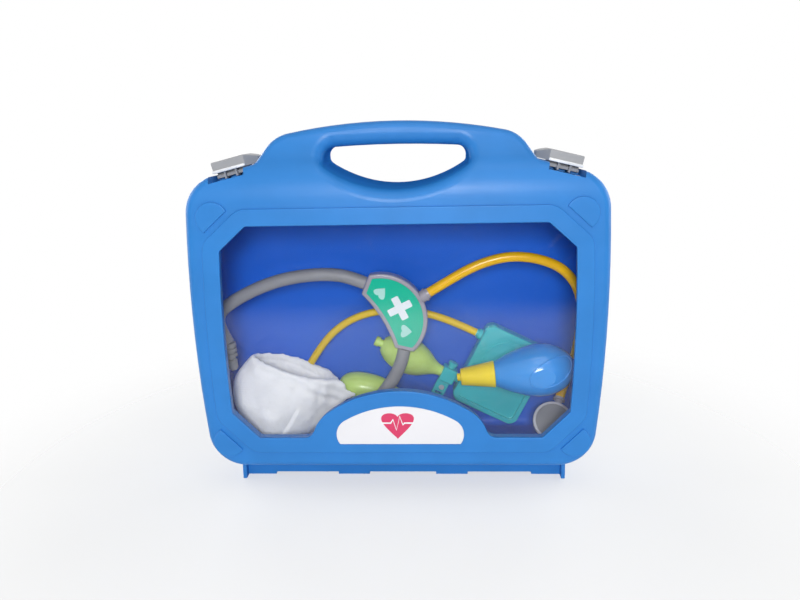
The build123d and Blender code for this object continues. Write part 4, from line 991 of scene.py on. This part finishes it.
def cuff_shell(wall):
    """The roll before it is filled. wall is in mm."""
    points, faces = [], []
    for level, shrink, inside in CUFF_RINGS:
        length = on_line(CUFF_RIGHT, level) - on_line(CUFF_LEFT, level)
        first = inside * wall / length
        last = 1 - inside * (1 - MOUTH_END)
        for i in range(RING_POINTS):
            turn = 2 * pi * i / RING_POINTS
            wide, deep = (copysign(abs(part) ** RING_FULLNESS, part) for part in (cos(turn), sin(turn)))
            along = first + (last - first) * (0.5 + 0.5 * wide)
            span = on_line(CUFF_BACK, along) - max(on_line(CUFF_FRONT, along), CUFF_RIM_FRONT * inside)
            squeeze = max(LEAST_OPEN, 1 - 2 * inside * wall / span) * shrink
            points.append(cuff_point(along, 0.5 + 0.5 * deep * squeeze, level) * MM)
    for ring in range(len(CUFF_RINGS) - 1):
        for i in range(RING_POINTS):
            a, b = ring * RING_POINTS + i, ring * RING_POINTS + (i + 1) % RING_POINTS
            faces.append((a, b, b + RING_POINTS, a + RING_POINTS))
    faces.append(tuple(reversed(range(RING_POINTS))))
    faces.append(tuple(range(len(points) - RING_POINTS, len(points))))
    mesh = bpy.data.meshes.new("arm_cuff_cloth")
    mesh.from_pydata(points, [], faces)
    cuff = bpy.data.objects.new("arm_cuff_cloth", mesh)
    bpy.context.collection.objects.link(cuff)
    return cuff


def inflate(piece, pressure):
    """Swell a padded piece with Cloth, and bring back what moves too far."""
    before = [v.co.copy() for v in piece.data.vertices]
    cloth = piece.modifiers.new("cloth", "CLOTH").settings
    cloth.use_pressure = True
    cloth.uniform_pressure_force = pressure
    cloth.effector_weights.gravity = 0
    cloth.quality = 5
    cloth.tension_stiffness = 12
    cloth.bending_stiffness = 0.6
    scene = bpy.context.scene
    for step in range(1, SWELL_STEPS + 1):
        scene.frame_set(step)
    apply_modifiers(piece)
    scene.frame_set(1)
    for vertex, start in zip(piece.data.vertices, before):
        move = vertex.co - start
        limit = SWELL_MOST * (THIN_SHARE + (1 - THIN_SHARE) * eased((THIN_END - start.x / MM) / THIN_FADE))
        if move.length > limit:
            vertex.co = start + move * (limit / move.length)


def crease_depth(x, z):
    """How far the creases and the tuck sink the front at x, z, in mm."""
    depth = 0.0
    for (x0, z0), (x1, z1), width, sink in CUFF_CREASES:
        run = Vector((x1 - x0, z1 - z0))
        start = Vector((x - x0, z - z0))
        share = min(max(start.dot(run) / run.length_squared, 0.0), 1.0)
        away = (start - run * share).length / width
        depth += sink * (valley(away) - PROUD_SHARE * valley(away - PROUD_AWAY))
    (x0, z0), (x1, z1) = CUFF_TUCK
    run = Vector((x1 - x0, z1 - z0))
    share = Vector((x - x0, z - z0)).dot(run) / run.length_squared
    side = ((x - x0) * run.y - (z - z0) * run.x) / -run.length
    shown = eased((share + 0.15) / 0.3)
    # Sunk on the left of the edge, then proud and falling away on its right.
    lap = exp(side / 1.8) if side < 0 else exp(-side / 0.8) - 1.5 * eased(side / 2.5) * exp(-side / 9)
    return depth + TUCK_STEP * shown * lap


def dress_cuff(piece, slack_depth):
    """Slack waves all over, creases in the front, and the lining's stitched seams inside the mouth."""
    normals = [v.normal.copy() for v in piece.data.vertices]
    for vertex, normal in zip(piece.data.vertices, normals):
        x, y, z = vertex.co / MM
        slack = noise.noise(Vector((x / SLACK_SIZES[0], y / SLACK_SIZES[1], z / SLACK_SIZES[2] + SLACK_START)))
        fine = noise.noise(Vector((x / FINE_SIZES[0], y / FINE_SIZES[1], z / FINE_SIZES[2])))
        move = slack_depth / MM * slack + FINE_DEPTH * fine
        if normal.y < 0.2 and y < CREASED_FROM:
            move -= crease_depth(x, z) * eased((0.2 - normal.y) / 0.5)
        elif normal.y < -0.3 and y >= CREASED_FROM:
            along = (x - CUFF_LEFT[-1][1]) / (CUFF_RIGHT[-1][1] - CUFF_LEFT[-1][1])
            below = on_line(CUFF_BACK_RIM, along) - z
            move -= LINING_DEPTH * valley((below - LINING_SEAM) / SEAM_WIDTH)
            beside = (x / QUILT_STEP + 0.2 * sin(z / 3)) % 1.0 - 0.5
            move -= QUILT_DEPTH * valley(beside * QUILT_STEP / SEAM_WIDTH) * eased(below / 2)
        vertex.co += normal * (move * MM)


class DOCTORCASE_OT_cuff(bpy.types.Operator):
    """Add the rolled arm cuff of quilted cloth"""
    bl_idname = "doctorcase.cuff"
    bl_label = "Arm cuff"

    def execute(self, context):
        settings = context.scene.doctor_case_cuff
        cuff = cuff_shell(settings.wall / MM)
        edit_all(cuff, bpy.ops.mesh.normals_make_consistent, inside=False)
        remesh = cuff.modifiers.new("remesh", "REMESH")
        remesh.mode = "VOXEL"
        remesh.voxel_size = VOXEL
        cuff.modifiers.new("even", "SMOOTH").iterations = 3
        apply_modifiers(cuff)
        inflate(cuff, settings.pressure)
        smooth = cuff.modifiers.new("smooth", "SUBSURF")
        smooth.levels = smooth.render_levels = 1
        apply_modifiers(cuff)
        dress_cuff(cuff, settings.fold_depth)
        bpy.ops.object.shade_smooth()
        settle(cuff, "arm_cuff_cloth", "rear", "cloth")
        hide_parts("arm_cuff")
        return {"FINISHED"}


# ---------------------------------------------------------------- stage
# In m: the middle of the case, which the lamps aim at, and each lamp's name, place, size and power setting.
LAMP_AIM = (0, 0, 0.14)
LAMPS = (("softbox_front", (0.02, -0.95, 0.42), 0.26, "front_power"),
         ("softbox_overhead", (0.1, -0.5, 0.95), 0.6, "top_power"),
         ("softbox_left", (-1.0, 0.15, 0.4), 0.7, "fill_power"),
         ("softbox_right", (1.0, 0.15, 0.4), 0.7, "fill_power"),
         ("softbox_back_left", (-0.6, 0.85, 0.42), 0.5, "back_power"),
         ("softbox_back_right", (0.6, 0.85, 0.42), 0.5, "back_power"))
FLOOR_GAP = 0.2 * MM  # between the case and the floor
# In m: how far from the case's middle the floor starts and ends to fade, and its clear shares there. Then the same
# for the card, along y, the card's middle and the sizes of both.
FLOOR_FADE, FLOOR_CLEAR = (0.22, 0.44), (0.55, 1.0)
CARD_FADE, CARD_CLEAR = (-0.66, -0.46), (0.0, 1.0)
CARD_PLACE = -1.28
FLOOR_SIZE, CARD_SIZE = (6, 6), (1.6, 1.7)


def softbox(name, place, size, power):
    """A square area light aimed at the case."""
    start_clean()
    bpy.ops.object.light_add(type="AREA", location=place)
    lamp = bpy.context.object
    lamp.name = name
    lamp.data.shape = "SQUARE"
    lamp.data.size = size
    lamp.data.energy = power
    lamp.rotation_euler = (Vector(LAMP_AIM) - Vector(place)).to_track_quat("-Z", "Y").to_euler()


def stage_card(name, size, place, material):
    """A flat card of the stage."""
    start_clean()
    bpy.ops.mesh.primitive_plane_add(size=1, location=place)
    card = bpy.context.object
    card.scale = (*size, 1)
    bpy.ops.object.transform_apply(location=True, rotation=True, scale=True)
    card.name = name
    card.data.materials.append(material)
    return card


def seen_through(tree, place):
    """The floor's clear share: the camera sees the white room through it, and the lid where it hangs below."""
    reach = add_node(tree, "VectorMath", {0: place}, operation="LENGTH").outputs["Value"]
    fade = spread(tree, reach, FLOOR_FADE, FLOOR_CLEAR, interpolation_type="SMOOTHSTEP")
    return maths(tree, "MULTIPLY", fade, add_node(tree, "LightPath").outputs["Is Camera Ray"])


def thinned_out(tree, place):
    """The dark card's clear share: it grows towards the case, so that the card's edge is soft in the window."""
    return spread(tree, axis(tree, place, "Y"), CARD_FADE, CARD_CLEAR, interpolation_type="SMOOTHSTEP")


def stage_paper(name, colour, clear_share):
    """Matt paper: a faint even tooth and no gloss, so that the stage stays plain. clear_share is how clear it is."""
    material, tree, place = new_material(name)
    tooth = relief(tree, mottle(tree, place, 2), 0.02)
    paper = surface(tree, "Principled", {"Base Color": linear(colour), "Roughness": 0.9,
                                         "Specular IOR Level": 0.1, "Normal": tooth})
    show(tree, mixed(tree, clear_share(tree, place), paper, surface(tree, "Transparent")))
    return material


class DOCTORCASE_OT_stage(bpy.types.Operator):
    """Add the floor, the lights and the room"""
    bl_idname = "doctorcase.stage"
    bl_label = "Stage"

    def execute(self, context):
        stage = context.scene.doctor_case_stage
        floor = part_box("front_cover")[0][2] - FLOOR_GAP
        white_paper = stage_paper("matt_white_paper", "#F6F6F6", seen_through)
        stage_card("stage_floor", FLOOR_SIZE, (0, 0, floor), white_paper).visible_shadow = False
        # A dark card in front, which only the gloss of the window and the toys meets.
        dark_paper = stage_paper("matt_dark_card", "#1A212C", thinned_out)
        card = stage_card("stage_dark_card", CARD_SIZE, (0, CARD_PLACE, floor + 1 * MM), dark_paper)
        card.visible_camera = card.visible_diffuse = card.visible_shadow = card.visible_transmission = False
        for name, place, size, power in LAMPS:
            softbox(name, place, size, getattr(stage, power))
        world = bpy.data.worlds.new("room")
        context.scene.world = world
        world.use_nodes = True
        tree = world.node_tree
        tree.nodes.clear()
        # What is seen, through the window or in a mirror too, is plain white. Only matt surfaces meet the room.
        path = add_node(tree, "LightPath").outputs
        seen = maths(tree, "MAXIMUM", path["Is Camera Ray"], path["Is Transmission Ray"])
        shown = maths(tree, "MAXIMUM", seen, path["Is Glossy Ray"])
        room, white = (add_node(tree, "Background", {"Color": (1.0, 1.0, 1.0, 1.0), "Strength": strength}
                                ).outputs["Background"] for strength in (stage.world, 1.0))
        add_node(tree, "OutputWorld", {"Surface": mixed(tree, shown, room, white)})
        context.scene.view_settings.view_transform = "Standard"
        return {"FINISHED"}


# ---------------------------------------------------------------- panel and registration
STEPS = (DOCTORCASE_OT_camera, DOCTORCASE_OT_tubes, DOCTORCASE_OT_case_finish, DOCTORCASE_OT_toy_finish,
         DOCTORCASE_OT_ear_tube, DOCTORCASE_OT_gauge_front, DOCTORCASE_OT_cone, DOCTORCASE_OT_grip,
         DOCTORCASE_OT_latch_lips, DOCTORCASE_OT_label_heart, DOCTORCASE_OT_badge_marks, DOCTORCASE_OT_cuff,
         DOCTORCASE_OT_stage)
GROUPS = {"doctor_case_colours": DoctorCaseColours, "doctor_case_tubes": DoctorCaseTubes,
          "doctor_case_marks": DoctorCaseMarks, "doctor_case_cuff": DoctorCaseCuff,
          "doctor_case_stage": DoctorCaseStage}


class DOCTORCASE_PT_panel(bpy.types.Panel):
    """Lists the sizes, colours and steps of the doctor case"""
    bl_idname = "DOCTORCASE_PT_panel"
    bl_label = "Doctor Case"
    bl_space_type = "VIEW_3D"
    bl_region_type = "UI"
    bl_category = "Doctor Case"

    def draw(self, context):
        for group_name, group in GROUPS.items():
            box = self.layout.box()
            box.label(text=group.__doc__)
            for name in group.__annotations__:
                box.prop(getattr(context.scene, group_name), name)
        for step in STEPS:
            self.layout.operator(step.bl_idname)


def register():
    """Register the add-on's classes and settings."""
    for cls in (*GROUPS.values(), *STEPS, DOCTORCASE_PT_panel):
        bpy.utils.register_class(cls)
    for name, group in GROUPS.items():
        setattr(bpy.types.Scene, name, PointerProperty(type=group))


def unregister():
    """Take the add-on's classes and settings away."""
    for name in GROUPS:
        delattr(bpy.types.Scene, name)
    for cls in (DOCTORCASE_PT_panel, *reversed(STEPS), *reversed(GROUPS.values())):
        bpy.utils.unregister_class(cls)


def main():
    """Build everything in order."""
    register()
    make_materials(bpy.context.scene.doctor_case_colours)
    for step in STEPS:
        getattr(bpy.ops.doctorcase, step.bl_idname.split(".")[1])()


if __name__ == "__main__":
    main()
